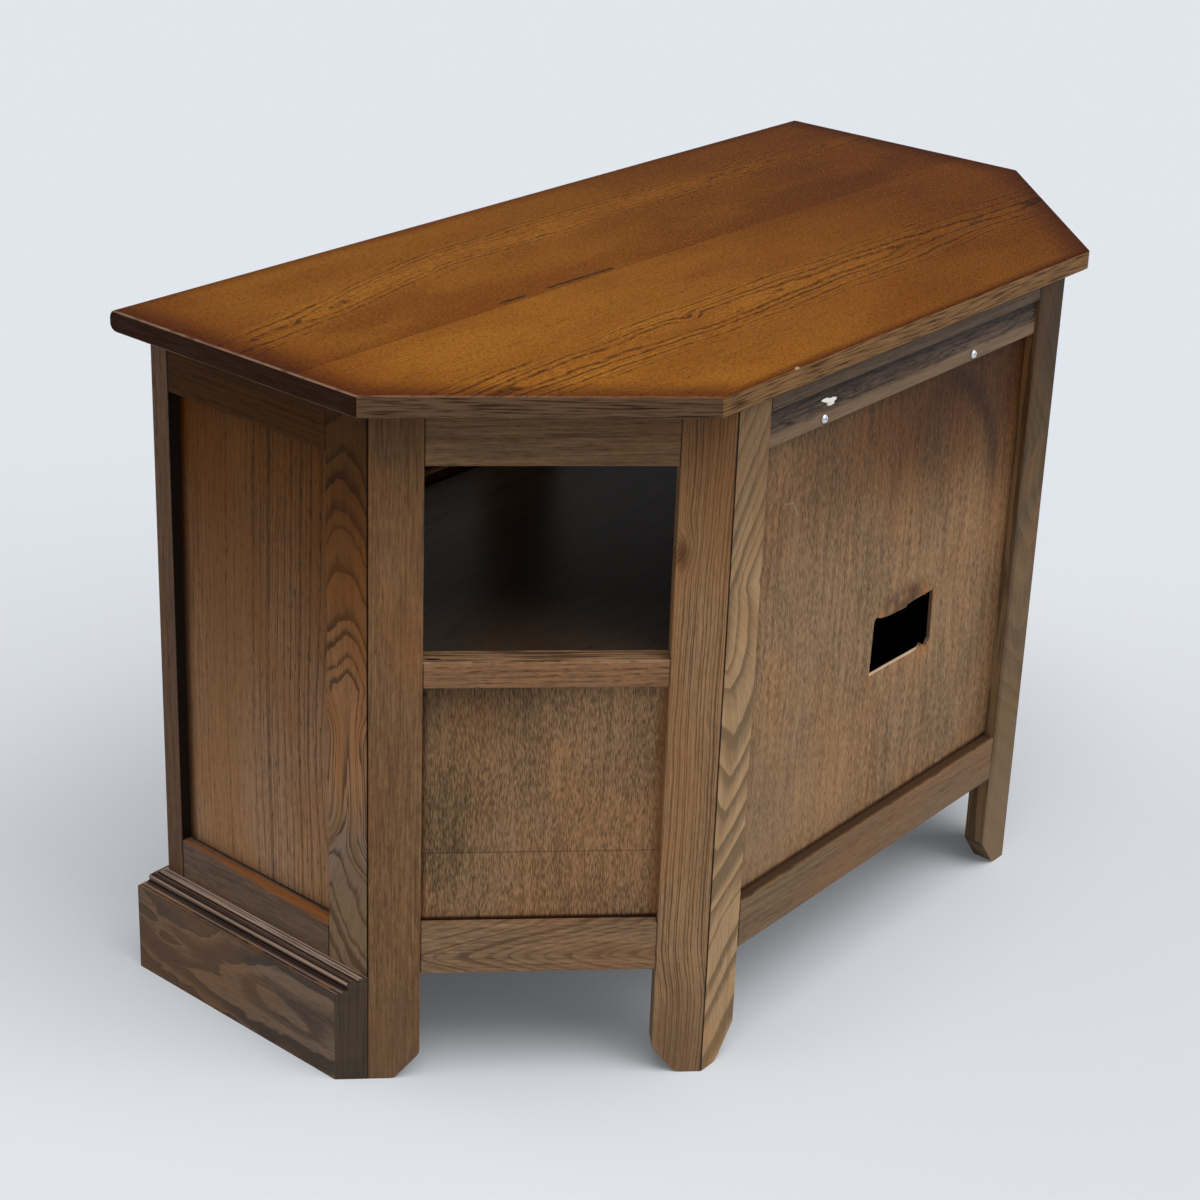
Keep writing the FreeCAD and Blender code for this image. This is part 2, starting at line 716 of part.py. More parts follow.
def hinge_pin(low):
    return upright_rod(hinge_pin_radius, hinge_x, hinge_y, low, low + hinge_height)


def make_hinges():
    frame_leaves = [hinge_leaf(low, 1, range(0, hinge_knuckle_count, 2)) for low in hinge_levels]
    door_leaves = [hinge_leaf(low, -1, range(1, hinge_knuckle_count, 2)) for low in hinge_levels]
    pins = [hinge_pin(low) for low in hinge_levels]
    keep("frame_hinge_leaves", Part.makeCompound(frame_leaves + [mirrored(leaf) for leaf in frame_leaves]))
    keep("hinge_pins", Part.makeCompound(pins + [mirrored(pin) for pin in pins]))
    keep_pair("door_hinge_leaves", Part.makeCompound(door_leaves))


def make_catches():
    high = mid_rail_level - catch_drop
    low = high - catch_height
    middle = (low + high) / 2
    base_end = centre_edge - catch_gap
    arm_face = stile_back_y + strike_thickness + catch_gap
    catch_back = stile_back_y + catch_depth
    base = block(base_end - catch_base_width, base_end, stile_back_y, catch_back, low, high)
    arm = block(base_end, base_end + catch_reach, arm_face, catch_back, low, high)
    catch = base.fuse(arm).removeSplitter()
    strike_start = door_inner + strike_inset
    strike = block(strike_start, strike_start + strike_width, stile_back_y,
                   stile_back_y + strike_thickness, middle - strike_height / 2,
                   middle + strike_height / 2)
    keep("door_catches", Part.makeCompound([catch, mirrored(catch)]))
    keep_pair("door_strike", strike)


def build():
    keep("top", make_top())
    make_front_frame()
    make_side_frame()
    make_diagonal_frame()
    make_back_frame()
    make_boards()
    make_plinth()
    make_door_frame()
    make_knob()
    make_hinges()
    make_catches()


build()
os.makedirs("parts", exist_ok=True)
for name, shape in nodes.items():
    if not shape.isValid():
        print("not valid:", name)
    shape.exportStep("parts/" + name + ".step")
print(len(nodes), "nodes,", sum(len(shape.Solids) for shape in nodes.values()), "solids")
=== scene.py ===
import math
import random

import bpy
from mathutils import Matrix, Vector


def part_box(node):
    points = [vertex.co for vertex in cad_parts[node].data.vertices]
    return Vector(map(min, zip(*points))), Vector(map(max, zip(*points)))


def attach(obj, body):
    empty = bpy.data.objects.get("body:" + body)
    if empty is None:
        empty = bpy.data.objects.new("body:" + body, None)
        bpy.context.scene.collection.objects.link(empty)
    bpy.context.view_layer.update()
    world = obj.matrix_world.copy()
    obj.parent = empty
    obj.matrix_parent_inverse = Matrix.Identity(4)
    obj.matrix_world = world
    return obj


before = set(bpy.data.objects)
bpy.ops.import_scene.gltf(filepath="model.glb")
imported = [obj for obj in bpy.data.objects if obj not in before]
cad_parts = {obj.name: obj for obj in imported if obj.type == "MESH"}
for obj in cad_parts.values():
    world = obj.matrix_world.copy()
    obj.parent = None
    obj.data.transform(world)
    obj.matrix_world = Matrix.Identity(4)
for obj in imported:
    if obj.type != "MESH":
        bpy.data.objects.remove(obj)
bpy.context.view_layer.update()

# The looks of the corner cabinet: every board gets its own procedural oak, worked out in the board's own
# grain direction, and a few small pieces that the photo shows are added (a fleck of filler, splinters).
# Metres. Each wall has a local frame: U along its outer face, W inwards, and Z up.

COS_45 = 0.7071
HALF_WIDTH = 0.435                  # of the carcass

# The walls: angle in plan, and the point of the plan where U is 0
WALLS = {
    "front": (0, -HALF_WIDTH, -0.2125),
    "side": (90, HALF_WIDTH, -0.2125),
    "diagonal": (135, HALF_WIDTH, 0.0315),
    "back": (180, 0.239, 0.2275),
}
DIAGONAL_LENGTH = 0.2772
BACK_LENGTH = 0.478
FRAME_THICKNESS = 0.02
TOP_LEVEL = 0.61
TOP_HALF_WIDTH = 0.458
TOP_HALF_DEPTH = 0.2335
TOP_CORNER_SUM = 0.5011             # X + Y along a cut-off corner of the top
PLANK_JOINT_Y = -0.0225
SHELF_LEVEL = 0.382
BACK_PANEL_Y = 0.2175
BATTEN_Y = 0.2250
BACK_STILE = 0.0415
DIAGONAL_STILE = 0.0425
DIAGONAL_SEAMS = (DIAGONAL_STILE, DIAGONAL_LENGTH - DIAGONAL_STILE)
BACK_SEAMS = (BACK_STILE, BACK_LENGTH - BACK_STILE)
SIDE_SEAMS = (0.02, 0.1995)
SIDE_LENGTH = 0.244
BOTTOM_RAIL_TOP = 0.145             # of the diagonal and back walls
PLINTH_FACE_TOP = 0.082
CABLE_HOLE = (0.272, 0.309)         # middle, as U and Z on the back wall

# Name, plan angle from +X towards +Y, height above the floor, apparent size (degrees), strength
LAMPS = [("overhead", 70, 75, 52, 1.85),
         ("rear_fill", 112, 42, 50, 1.25),
         ("side_fill", 40, 36, 70, 0.27),
         ("front_fill", -56, 40, 60, 0.70)]
WORLD_STRENGTH = 0.11
SHADOW_LIFT = 0.10
FLOOR_COLOUR = (0.665, 0.697, 0.740, 1.0)
FLOOR_BOUNCE = (0.64, 0.63, 0.61, 1.0)


def tone(red, green, blue):
    """Linear colour from an 8 bit display colour."""
    def linear(value):
        share = value / 255
        return share / 12.92 if share <= 0.04045 else ((share + 0.055) / 1.055) ** 2.4
    return (linear(red), linear(green), linear(blue), 1.0)


def scaled_tone(colour, factor):
    return tuple(value * factor for value in colour[:3]) + (1.0,)


# Building node trees

class Net:
    """Short calls that add nodes to a tree and return the socket that matters."""

    def __init__(self, tree):
        self.tree = tree

    def put(self, socket, value):
        if isinstance(value, bpy.types.NodeSocket):
            self.tree.links.new(value, socket)
        else:
            socket.default_value = value

    def add(self, kind, values=None, **settings):
        node = self.tree.nodes.new(kind)
        for key, value in settings.items():
            setattr(node, key, value)
        for key, value in (values or {}).items():
            self.put(node.inputs[key], value)
        return node

    def math(self, operation, a, b=0.0, clamp=False):
        return self.add("ShaderNodeMath", {0: a, 1: b}, operation=operation, use_clamp=clamp).outputs[0]

    def less(self, a, b):
        return self.math("SUBTRACT", a, b)

    def sum(self, *terms):
        total = terms[0]
        for term in terms[1:]:
            total = self.math("ADD", total, term)
        return total

    def times(self, *factors):
        product = factors[0]
        for factor in factors[1:]:
            product = self.math("MULTIPLY", product, factor)
        return product

    def length(self, a, b):
        return self.math("SQRT", self.sum(self.times(a, a), self.times(b, b)))

    def scaled(self, vector, x, y, z):
        node = self.add("ShaderNodeVectorMath", {0: vector, 1: (x, y, z)}, operation="MULTIPLY")
        return node.outputs[0]

    def moved(self, vector, by):
        return self.add("ShaderNodeVectorMath", {0: vector, 1: by}, operation="ADD").outputs[0]

    def noise(self, vector, detail=2.0, roughness=0.5):
        values = {"Vector": vector, "Scale": 1.0, "Detail": detail, "Roughness": roughness}
        return self.add("ShaderNodeTexNoise", values).outputs["Fac"]

    def ramp(self, value, start, end, low=0.0, high=1.0):
        """Smooth step from low to high while the value goes from start to end."""
        values = {0: value, 1: start, 2: end, 3: low, 4: high}
        return self.add("ShaderNodeMapRange", values, interpolation_type="SMOOTHSTEP").outputs[0]

    def near(self, value, place, reach, soft):
        """1 where the value is within reach of a place, and 0 further than reach and soft away."""
        distance = self.math("ABSOLUTE", self.less(value, place))
        return self.ramp(distance, reach, self.sum(soft, reach), 1.0, 0.0)

    def mix(self, share, a, b, blend="MIX"):
        node = self.add("ShaderNodeMix", {0: share}, data_type="RGBA", blend_type=blend)
        self.put(node.inputs[6], a)
        self.put(node.inputs[7], b)
        return node.outputs[2]

    def blend(self, share, a, b):
        return self.add("ShaderNodeMix", {0: share, 2: a, 3: b}).outputs[0]

    def join(self, x, y, z):
        return self.add("ShaderNodeCombineXYZ", {0: x, 1: y, 2: z}).outputs[0]

    def split(self, vector):
        return self.add("ShaderNodeSeparateXYZ", {0: vector}).outputs[:]

    def bump(self, height, strength, distance):
        values = {"Strength": strength, "Distance": distance, "Height": height}
        return self.add("ShaderNodeBump", values).outputs[0]

    def surface(self, values):
        """Principled shader, joined to the material's output."""
        shader = self.add("ShaderNodeBsdfPrincipled", values)
        self.put(self.add("ShaderNodeOutputMaterial").inputs["Surface"], shader.outputs[0])

    def spot(self, a, b, centre, radii, soft=0.5):
        """Soft ellipse in two coordinates: 1 in the middle, 0 outside."""
        da = self.math("DIVIDE", self.less(a, centre[0]), radii[0])
        db = self.math("DIVIDE", self.less(b, centre[1]), radii[1])
        return self.ramp(self.length(da, db), 1 - soft, 1, 1.0, 0.0)

    def stroke(self, a, b, start, end, width, soft):
        """Line from one point to another in two coordinates."""
        along = Vector((end[0] - start[0], end[1] - start[1]))
        length = along.length
        along.normalize()
        pa = self.less(a, start[0])
        pb = self.less(b, start[1])
        reach = self.sum(self.times(pa, along.x), self.times(pb, along.y))
        across = self.sum(self.times(pa, -along.y), self.times(pb, along.x))
        return self.times(self.near(across, 0, width / 2, soft),
                          self.near(reach, length / 2, length / 2, soft * 4))


def make_group(name, inputs, outputs):
    tree = bpy.data.node_groups.new(name, "ShaderNodeTree")
    for label, value in inputs:
        kind = "NodeSocketVector" if value is None else "NodeSocketFloat"
        socket = tree.interface.new_socket(label, in_out="INPUT", socket_type=kind)
        if value is not None:
            socket.default_value = value
    for label in outputs:
        tree.interface.new_socket(label, in_out="OUTPUT", socket_type="NodeSocketFloat")
    net = Net(tree)
    return tree, net, net.add("NodeGroupInput").outputs, net.add("NodeGroupOutput").inputs


def make_grain_group():
    """Sawn oak. X runs along the grain, Y across the board and Z into it. Rings are curves of equal
    distance from a pith line. The pith comes nearer along the board up to the turn and then goes away
    again, so that flat sawn faces show arches that point away from the turn."""
    tree, net, given, out = make_group("sawn_oak", [
        ("Vector", None), ("Seed", 0.0), ("Pith", 0.0), ("Depth", 0.02), ("Pitch", 0.004), ("Taper", 0.05),
        ("Turn", -10.0), ("Warp", 0.002), ("Fade", 0.6), ("Knot X", 0.0), ("Knot Y", 0.0), ("Knot", 0.0),
    ], ["Ring", "Pore", "Fibre", "Grit", "Broad", "Spare", "Cloud"])
    x, y, z = net.split(given["Vector"])
    seed = given["Seed"]
    shift = net.join(net.times(seed, 3.17), net.times(seed, 1.71), net.times(seed, 2.39))
    place = net.moved(given["Vector"], shift)
    slow = net.less(net.noise(net.scaled(place, 5, 16, 16), 1.0), 0.5)
    quick = net.less(net.noise(net.scaled(place, 17, 46, 46), 3.0), 0.5)
    radius = net.length(net.less(y, given["Pith"]), net.sum(z, given["Depth"]))
    knot_x = net.times(net.less(x, given["Knot X"]), 70)
    knot_y = net.times(net.less(y, given["Knot Y"]), 110)
    knot = net.math("EXPONENT", net.times(net.sum(net.times(knot_x, knot_x), net.times(knot_y, knot_y)), -1))
    rise = net.times(given["Taper"], net.length(net.less(x, given["Turn"]), 0.03))
    radius = net.sum(radius, rise, net.times(given["Warp"], net.sum(slow, slow, quick)),
                     net.times(given["Knot"], knot))
    rings = net.math("DIVIDE", radius, given["Pitch"])
    uneven = net.add("ShaderNodeTexNoise", {"W": net.sum(net.times(rings, 0.43), seed), "Scale": 1.0},
                     noise_dimensions="1D").outputs["Fac"]
    rings = net.sum(rings, net.times(uneven, 2.2))
    phase = net.math("FRACT", rings)
    number = {"W": net.math("FLOOR", rings)}
    own = net.add("ShaderNodeTexWhiteNoise", number, noise_dimensions="1D").outputs[0]
    fade = net.ramp(phase, 0.10, net.times(given["Fade"], net.sum(net.times(own, 0.7), 0.6)), 1.0, 0.0)
    ring = net.times(net.ramp(phase, 0.0, 0.10), fade, net.sum(net.times(own, 0.5), 0.5))
    dots = net.noise(net.scaled(place, 80, 800, 800), 1.0)
    pore = net.ramp(net.less(dots, net.less(0.635, net.times(ring, 0.13))), 0.0, 0.09)
    net.put(out["Ring"], ring)
    net.put(out["Pore"], pore)
    net.put(out["Fibre"], net.noise(net.scaled(place, 20, 560, 560), 3.0, 0.6))
    net.put(out["Grit"], net.noise(net.scaled(place, 85, 430, 430), 3.0, 0.7))
    net.put(out["Broad"], net.noise(net.scaled(place, 4, 45, 45), 3.0, 0.55))
    net.put(out["Spare"], net.noise(net.scaled(place, 60, 60, 60), 3.0))
    net.put(out["Cloud"], net.noise(net.scaled(place, 5, 14, 14), 2.0))
    return tree


def make_veneer_group():
    """Rotary cut veneer: short flecks along the grain over broad cloudy tones."""
    tree, net, given, out = make_group("rotary_veneer", [("Vector", None), ("Seed", 0.0)],
                                       ["Fleck", "Streak", "Cloud", "Fine"])
    shift = net.join(net.times(given["Seed"], 2.3), net.times(given["Seed"], 4.1), 0.0)
    place = net.moved(given["Vector"], shift)
    bend = net.times(net.less(net.noise(net.scaled(place, 14, 14, 14), 1.0), 0.5), 0.012)
    place = net.moved(place, net.join(0.0, bend, 0.0))
    net.put(out["Fleck"], net.noise(net.scaled(place, 150, 1080, 1080), 2.0, 0.6))
    net.put(out["Streak"], net.noise(net.scaled(place, 12, 190, 190)))
    net.put(out["Cloud"], net.noise(net.scaled(place, 8, 15, 15), 3.0, 0.5))
    net.put(out["Fine"], net.noise(net.scaled(place, 420, 1500, 1500), 1.0))
    return tree


GRAIN = make_grain_group()
VENEER = make_veneer_group()


class Board:
    """A material in the making, with the board's coordinates at hand."""

    def __init__(self, name, wall, grain, flip=False):
        self.material = bpy.data.materials.new(name)
        self.material.use_nodes = True
        tree = self.material.node_tree
        tree.nodes.clear()
        self.net = net = Net(tree)
        coordinates = net.add("ShaderNodeTexCoord")
        self.point = coordinates.outputs["Object"]
        self.facing = coordinates.outputs["Normal"]
        if wall in WALLS:
            angle, x, y = WALLS[wall]
            turn = Matrix.Rotation(math.radians(-angle), 3, "Z")
            values = {"Vector": self.point, "Location": -(turn @ Vector((x, y, 0))),
                      "Rotation": (0, 0, math.radians(-angle)), "Scale": (-1 if flip else 1, 1, 1)}
            self.u, self.w, self.z = net.split(net.add("ShaderNodeMapping", values).outputs[0])
        else:
            self.u, self.w, self.z = net.split(self.point)
        along, across = (self.z, self.u) if grain == "z" else (self.u, self.z)
        self.grain = net.join(along, across, self.w)

    def faces(self, direction, low=0.86, high=0.97):
        """1 on the faces that look this way (in the object's own axes)."""
        node = self.net.add("ShaderNodeVectorMath", {0: self.facing, 1: direction}, operation="DOT_PRODUCT")
        return self.net.ramp(node.outputs["Value"], low, high)

    def sawn(self, mean, spread=0.35, seed=0.0, ring=0.35, fibre=0.7, grit=0.7, broad=0.7, pore=0.35,
             warm=None, warm_share=0.4, vector=None, ring_mask=None, **shape):
        """Base colour of a sawn board, around a mean colour."""
        net = self.net
        node = net.add("ShaderNodeGroup", node_tree=GRAIN)
        net.put(node.inputs["Vector"], vector or self.grain)
        net.put(node.inputs["Seed"], seed)
        for key, value in shape.items():
            net.put(node.inputs[key.replace("_", " ").title()], value)
        self.ring, self.pore, self.fibre, self.grit, self.broad, self.spare, self.cloud = node.outputs[:]
        if ring_mask is not None:
            self.ring = net.times(self.ring, ring_mask)
            self.pore = net.times(self.pore, net.sum(net.times(ring_mask, 0.65), 0.35))
        share = net.sum(0.5, net.times(net.less(self.ring, 0.25), ring),
                        net.times(net.less(self.fibre, 0.5), fibre * 2.6),
                        net.times(net.less(self.grit, 0.5), grit * 2.0),
                        net.times(net.less(self.broad, 0.5), broad * 1.3))
        share = net.math("ADD", share, 0.0, clamp=True)
        self.colour = net.mix(share, scaled_tone(mean, 1 + spread), scaled_tone(mean, 1 - spread))
        if warm:
            self.tint(net.ramp(self.cloud, 0.42, 0.62), warm, warm_share)
        self.colour = net.mix(net.times(self.pore, pore), self.colour, scaled_tone(mean, 0.25))
        self.height = net.sum(net.times(self.pore, -0.8), net.times(self.ring, -0.3),
                              net.times(self.fibre, 0.5))
        self.shine = net.sum(0.42, net.times(self.fibre, 0.14), net.times(self.pore, 0.15))

    def veneer(self, mean, spread=0.5, seed=0.0, fleck=1.0, streak=0.5, cloud=0.8, warm=None, warm_share=0.4):
        """Base colour of a veneered panel, around a mean colour."""
        net = self.net
        node = net.add("ShaderNodeGroup", node_tree=VENEER)
        net.put(node.inputs["Vector"], self.grain)
        net.put(node.inputs["Seed"], seed)
        self.fleck, self.streak, self.cloud, self.fine = node.outputs[:]
        self.spare = net.noise(net.scaled(self.point, 60, 60, 60), 3.0)
        share = net.sum(0.5, net.times(net.less(self.fleck, 0.5), fleck * 2.2),
                        net.times(net.less(self.streak, 0.5), streak * 2),
                        net.times(net.less(self.cloud, 0.5), cloud))
        share = net.math("ADD", share, 0.0, clamp=True)
        self.colour = net.mix(share, scaled_tone(mean, 1 + spread), scaled_tone(mean, 1 - spread))
        if warm:
            patches = net.noise(net.scaled(self.grain, 7, 18, 18), 2.0)
            flecked = net.mix(share, scaled_tone(warm, 1 + spread * 0.8), scaled_tone(warm, 1 - spread * 0.8))
            self.tint(net.ramp(patches, 0.42, 0.62), flecked, warm_share)
        self.height = net.sum(self.fleck, net.times(self.fine, 0.6))
        self.shine = net.sum(0.5, net.times(self.fleck, 0.15))

    def tint(self, mask, colour, strength=1.0):
        """Covers the wood's own colour."""
        self.colour = self.net.mix(self.net.times(mask, strength), self.colour, colour)

    def darken(self, mask, colour, strength=1.0):
        """Stain: multiplies the wood's own colour."""
        self.colour = self.net.mix(self.net.times(mask, strength), self.colour, colour, "MULTIPLY")

    def seam(self, value, place, reach=0.0005, soft=0.0009, strength=0.75, colour=(0.12, 0.09, 0.07, 1.0)):
        """Thin dark line where one coordinate has a value."""
        self.darken(self.net.near(value, place, reach, soft), colour, strength)

    def done(self, bump=0.3, distance=0.0004, specular=0.12):
        self.net.surface({"Base Color": self.colour, "Roughness": self.shine, "Specular IOR Level": specular,
                          "Normal": self.net.bump(self.height, bump, distance)})
        return self.material


def dress(node, material):
    """Puts a material in every slot of a CAD node."""
    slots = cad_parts[node].data.materials
    for index in range(len(slots)):
        slots[index] = material
    if not len(slots):
        slots.append(material)


# Colours that several pieces share
BACKGROUND = tone(225, 230, 236)
INSIDE = tone(34, 26, 20)
DOOR_INSIDE = tone(88, 64, 44)
NEARLY_BLACK = (0.06, 0.045, 0.035, 1.0)
RAW_ORANGE = tone(190, 116, 58)
RAW_PALE = tone(214, 186, 156)
WARM = tone(140, 88, 46)


def sides_of(name):
    return ["right_" + name, "left_" + name] if "right_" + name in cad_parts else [name]


def member(name, wall, grain, mean, seed, figure=None, seams=(), mitre=None, inside=INSIDE, **look):
    """Boards of one name, on both sides of the cabinet, with the seams where they meet their neighbours."""
    made = []
    for side in sides_of(name):
        left = side.startswith("left_")
        board = Board(side, wall, grain, left)
        if figure:
            along, across, look["pitch"] = figure(board.net, board.u, board.z)
            look["vector"] = board.net.join(along, across, board.w)
        board.sawn(mean, seed=seed + (11.3 if left else 0), **look)
        for place in seams:
            board.seam(board.u, place)
        if mitre is not None:
            board.seam(board.u, mitre, 0.0006, 0.0006, 1.0, NEARLY_BLACK)
        board.tint(board.net.ramp(board.w, FRAME_THICKNESS - 0.0008, FRAME_THICKNESS - 0.0001), inside,
                   1.0 if inside is INSIDE else 0.5)
        made.append((side, board))
    return made


def finish(made, **settings):
    for node, board in made:
        dress(node, board.done(**settings))


# Top board

def make_top():
    board = Board("top", "level", "u")
    net = board.net
    x, y, z = board.u, board.w, board.z
    rear = net.ramp(y, PLANK_JOINT_Y - 0.0002, PLANK_JOINT_Y + 0.0002)
    inwards = net.less(TOP_LEVEL, z)
    front = net.less(1.0, rear)
    mean = tone(122, 75, 18)
    plank = {"spread": 0.42, "ring": 2.9, "fibre": 0.7, "grit": 1.1, "broad": 0.5, "pore": 0.8, "pith": 0.0,
             "fade": 0.5}
    dashes = net.ramp(net.noise(net.scaled(board.point, 95, 420, 10), 2.0), 0.44, 0.56)

    def figured(across, reach, soft, patches):
        """The band along a plank in which its rings show, broken into dashes."""
        return net.times(net.near(across, 0.0, reach, soft), net.ramp(patches, 0.30, 0.5),
                         net.sum(net.times(dashes, 0.8), 0.2))

    def gild(mask):
        """Golden wood between the dark rings."""
        board.tint(net.times(mask, net.ramp(board.ring, 0.3, 0.05)), tone(178, 118, 42), 0.62)

    # the front plank's figure bends towards the rear at its right end
    bend = net.times(net.math("MAXIMUM", net.less(x, 0.17), 0.0), 0.19)
    front_y = net.less(net.less(y, -0.147), bend)
    band = figured(front_y, 0.012, 0.024, net.noise(net.scaled(board.point, 4, 30, 1), 2.0))
    board.sawn(mean, seed=1.0, depth=0.010, pitch=0.0046, taper=0.02, turn=0.05, warp=0.008, ring_mask=band,
               vector=net.join(x, front_y, inwards), **plank)
    gild(band)
    front_colour, front_height, front_shine = board.colour, board.height, board.shine
    rear_y = net.less(y, 0.112)
    band = net.sum(figured(rear_y, 0.018, 0.032, net.noise(net.scaled(board.point, 5, 26, 2), 2.0)), 0.10)
    board.sawn(mean, seed=7.0, depth=0.012, pitch=0.0050, taper=0.03, turn=0.12, warp=0.009, ring_mask=band,
               knot_x=0.142, knot_y=-0.009, knot=0.006, vector=net.join(x, rear_y, inwards), **plank)
    gild(band)
    board.colour = net.mix(rear, front_colour, board.colour)
    board.height = net.blend(rear, front_height, board.height)
    board.shine = net.blend(rear, front_shine, board.shine)
    # light and dark clouds in the stain
    cloud = net.noise(net.scaled(board.point, 6, 16, 10), 3.0)
    board.darken(net.ramp(cloud, 0.40, 0.66), tone(228, 216, 200), 0.8)
    zone = net.times(net.ramp(y, -0.120, -0.050), front, net.ramp(cloud, 0.34, 0.56))
    board.darken(zone, tone(236, 224, 212), 0.9)
    board.seam(y, PLANK_JOINT_Y, 0.0003, 0.0008, 0.5, tone(120, 90, 70))
    # two dark marks beside the joint
    broken = net.ramp(net.noise(net.scaled(board.point, 30, 160, 10), 2.0), 0.40, 0.52)
    for start, end in (((0.236, -0.0290), (0.196, -0.0275)), ((0.165, -0.0285), (0.086, -0.0265))):
        board.tint(net.times(net.stroke(x, y, start, end, 0.0022, 0.0012), broken), tone(34, 20, 10), 0.9)
    # the stain is darker at the far end and along all edges
    board.darken(net.ramp(x, 0.25, -0.42), tone(186, 164, 96), 1.0)
    # and a little darker on the front plank, and on the rear one away from its near end
    board.darken(front, tone(235, 233, 228), 1.0)
    board.darken(net.times(rear, net.ramp(x, 0.28, 0.10)), tone(242, 238, 236), 1.0)
    # short dark pores, with golden wood between them
    speckle = net.noise(net.scaled(board.point, 260, 900, 10), 2.0, 0.7)
    board.darken(net.ramp(speckle, 0.50, 0.68), tone(168, 150, 128), 0.9)
    board.tint(net.ramp(speckle, 0.44, 0.30), tone(178, 126, 52), 0.35)
    # distance from the nearest edge
    side_gap = net.less(TOP_HALF_WIDTH, net.math("ABSOLUTE", x))
    back_gap = net.less(TOP_HALF_DEPTH, y)
    front_gap = net.sum(TOP_HALF_DEPTH, y)
    corner_gap = net.times(net.less(TOP_CORNER_SUM, net.sum(net.math("ABSOLUTE", x), y)), COS_45)
    gap = net.math("MINIMUM", net.math("MINIMUM", side_gap, net.times(back_gap, 4.0)),
                   net.math("MINIMUM", net.times(front_gap, 1.8), corner_gap))
    gap = net.sum(gap, net.times(net.less(cloud, 0.5), 0.04))
    board.darken(net.ramp(gap, -0.004, 0.040, 1.0, 0.0), tone(176, 150, 140), 1.0)
    board.darken(net.ramp(net.less(TOP_HALF_WIDTH, x), 0.0, 0.10, 1.0, 0.0), tone(222, 204, 184), 1.0)
    # the edges below the top face are stained dark, and their faces differ as painted light and shade:
    # darkest on the face looking along +X, lightest on the back
    edge_tone = net.mix(board.faces((1, 0, 0), 0.8, 0.95), tone(102, 79, 59), tone(43, 16, 0))
    edge_tone = net.mix(board.faces((0, 1, 0), 0.8, 0.95), edge_tone, tone(132, 98, 63))
    streaks = net.noise(net.scaled(board.point, 30, 30, 700), 3.0)
    edge_tone = net.mix(net.ramp(streaks, 0.4, 0.7), edge_tone, tone(50, 34, 22))
    face = net.ramp(z, TOP_LEVEL - 0.0014, TOP_LEVEL - 0.0006)
    board.colour = net.mix(face, edge_tone, board.colour)
    # a painted highlight on the arris above the face looking along +X, and a small chip at the back
    wear_and_highlight = net.times(net.near(z, TOP_LEVEL - 0.0006, 0.0006, 0.0004), net.ramp(board.spare, 0.25, 0.55))
    board.tint(net.times(wear_and_highlight, board.faces((COS_45, 0, COS_45), 0.8, 0.95)), tone(156, 126, 104), 0.6)
    chip = net.times(net.spot(x, y, (0.176, TOP_HALF_DEPTH - 0.0001), (0.0036, 0.0016)),
                     net.ramp(z, TOP_LEVEL - 0.0020, TOP_LEVEL - 0.0012))
    board.tint(chip, RAW_PALE, 0.5)
    dress("top", board.done(bump=0.35, specular=0.04))


# Side wall

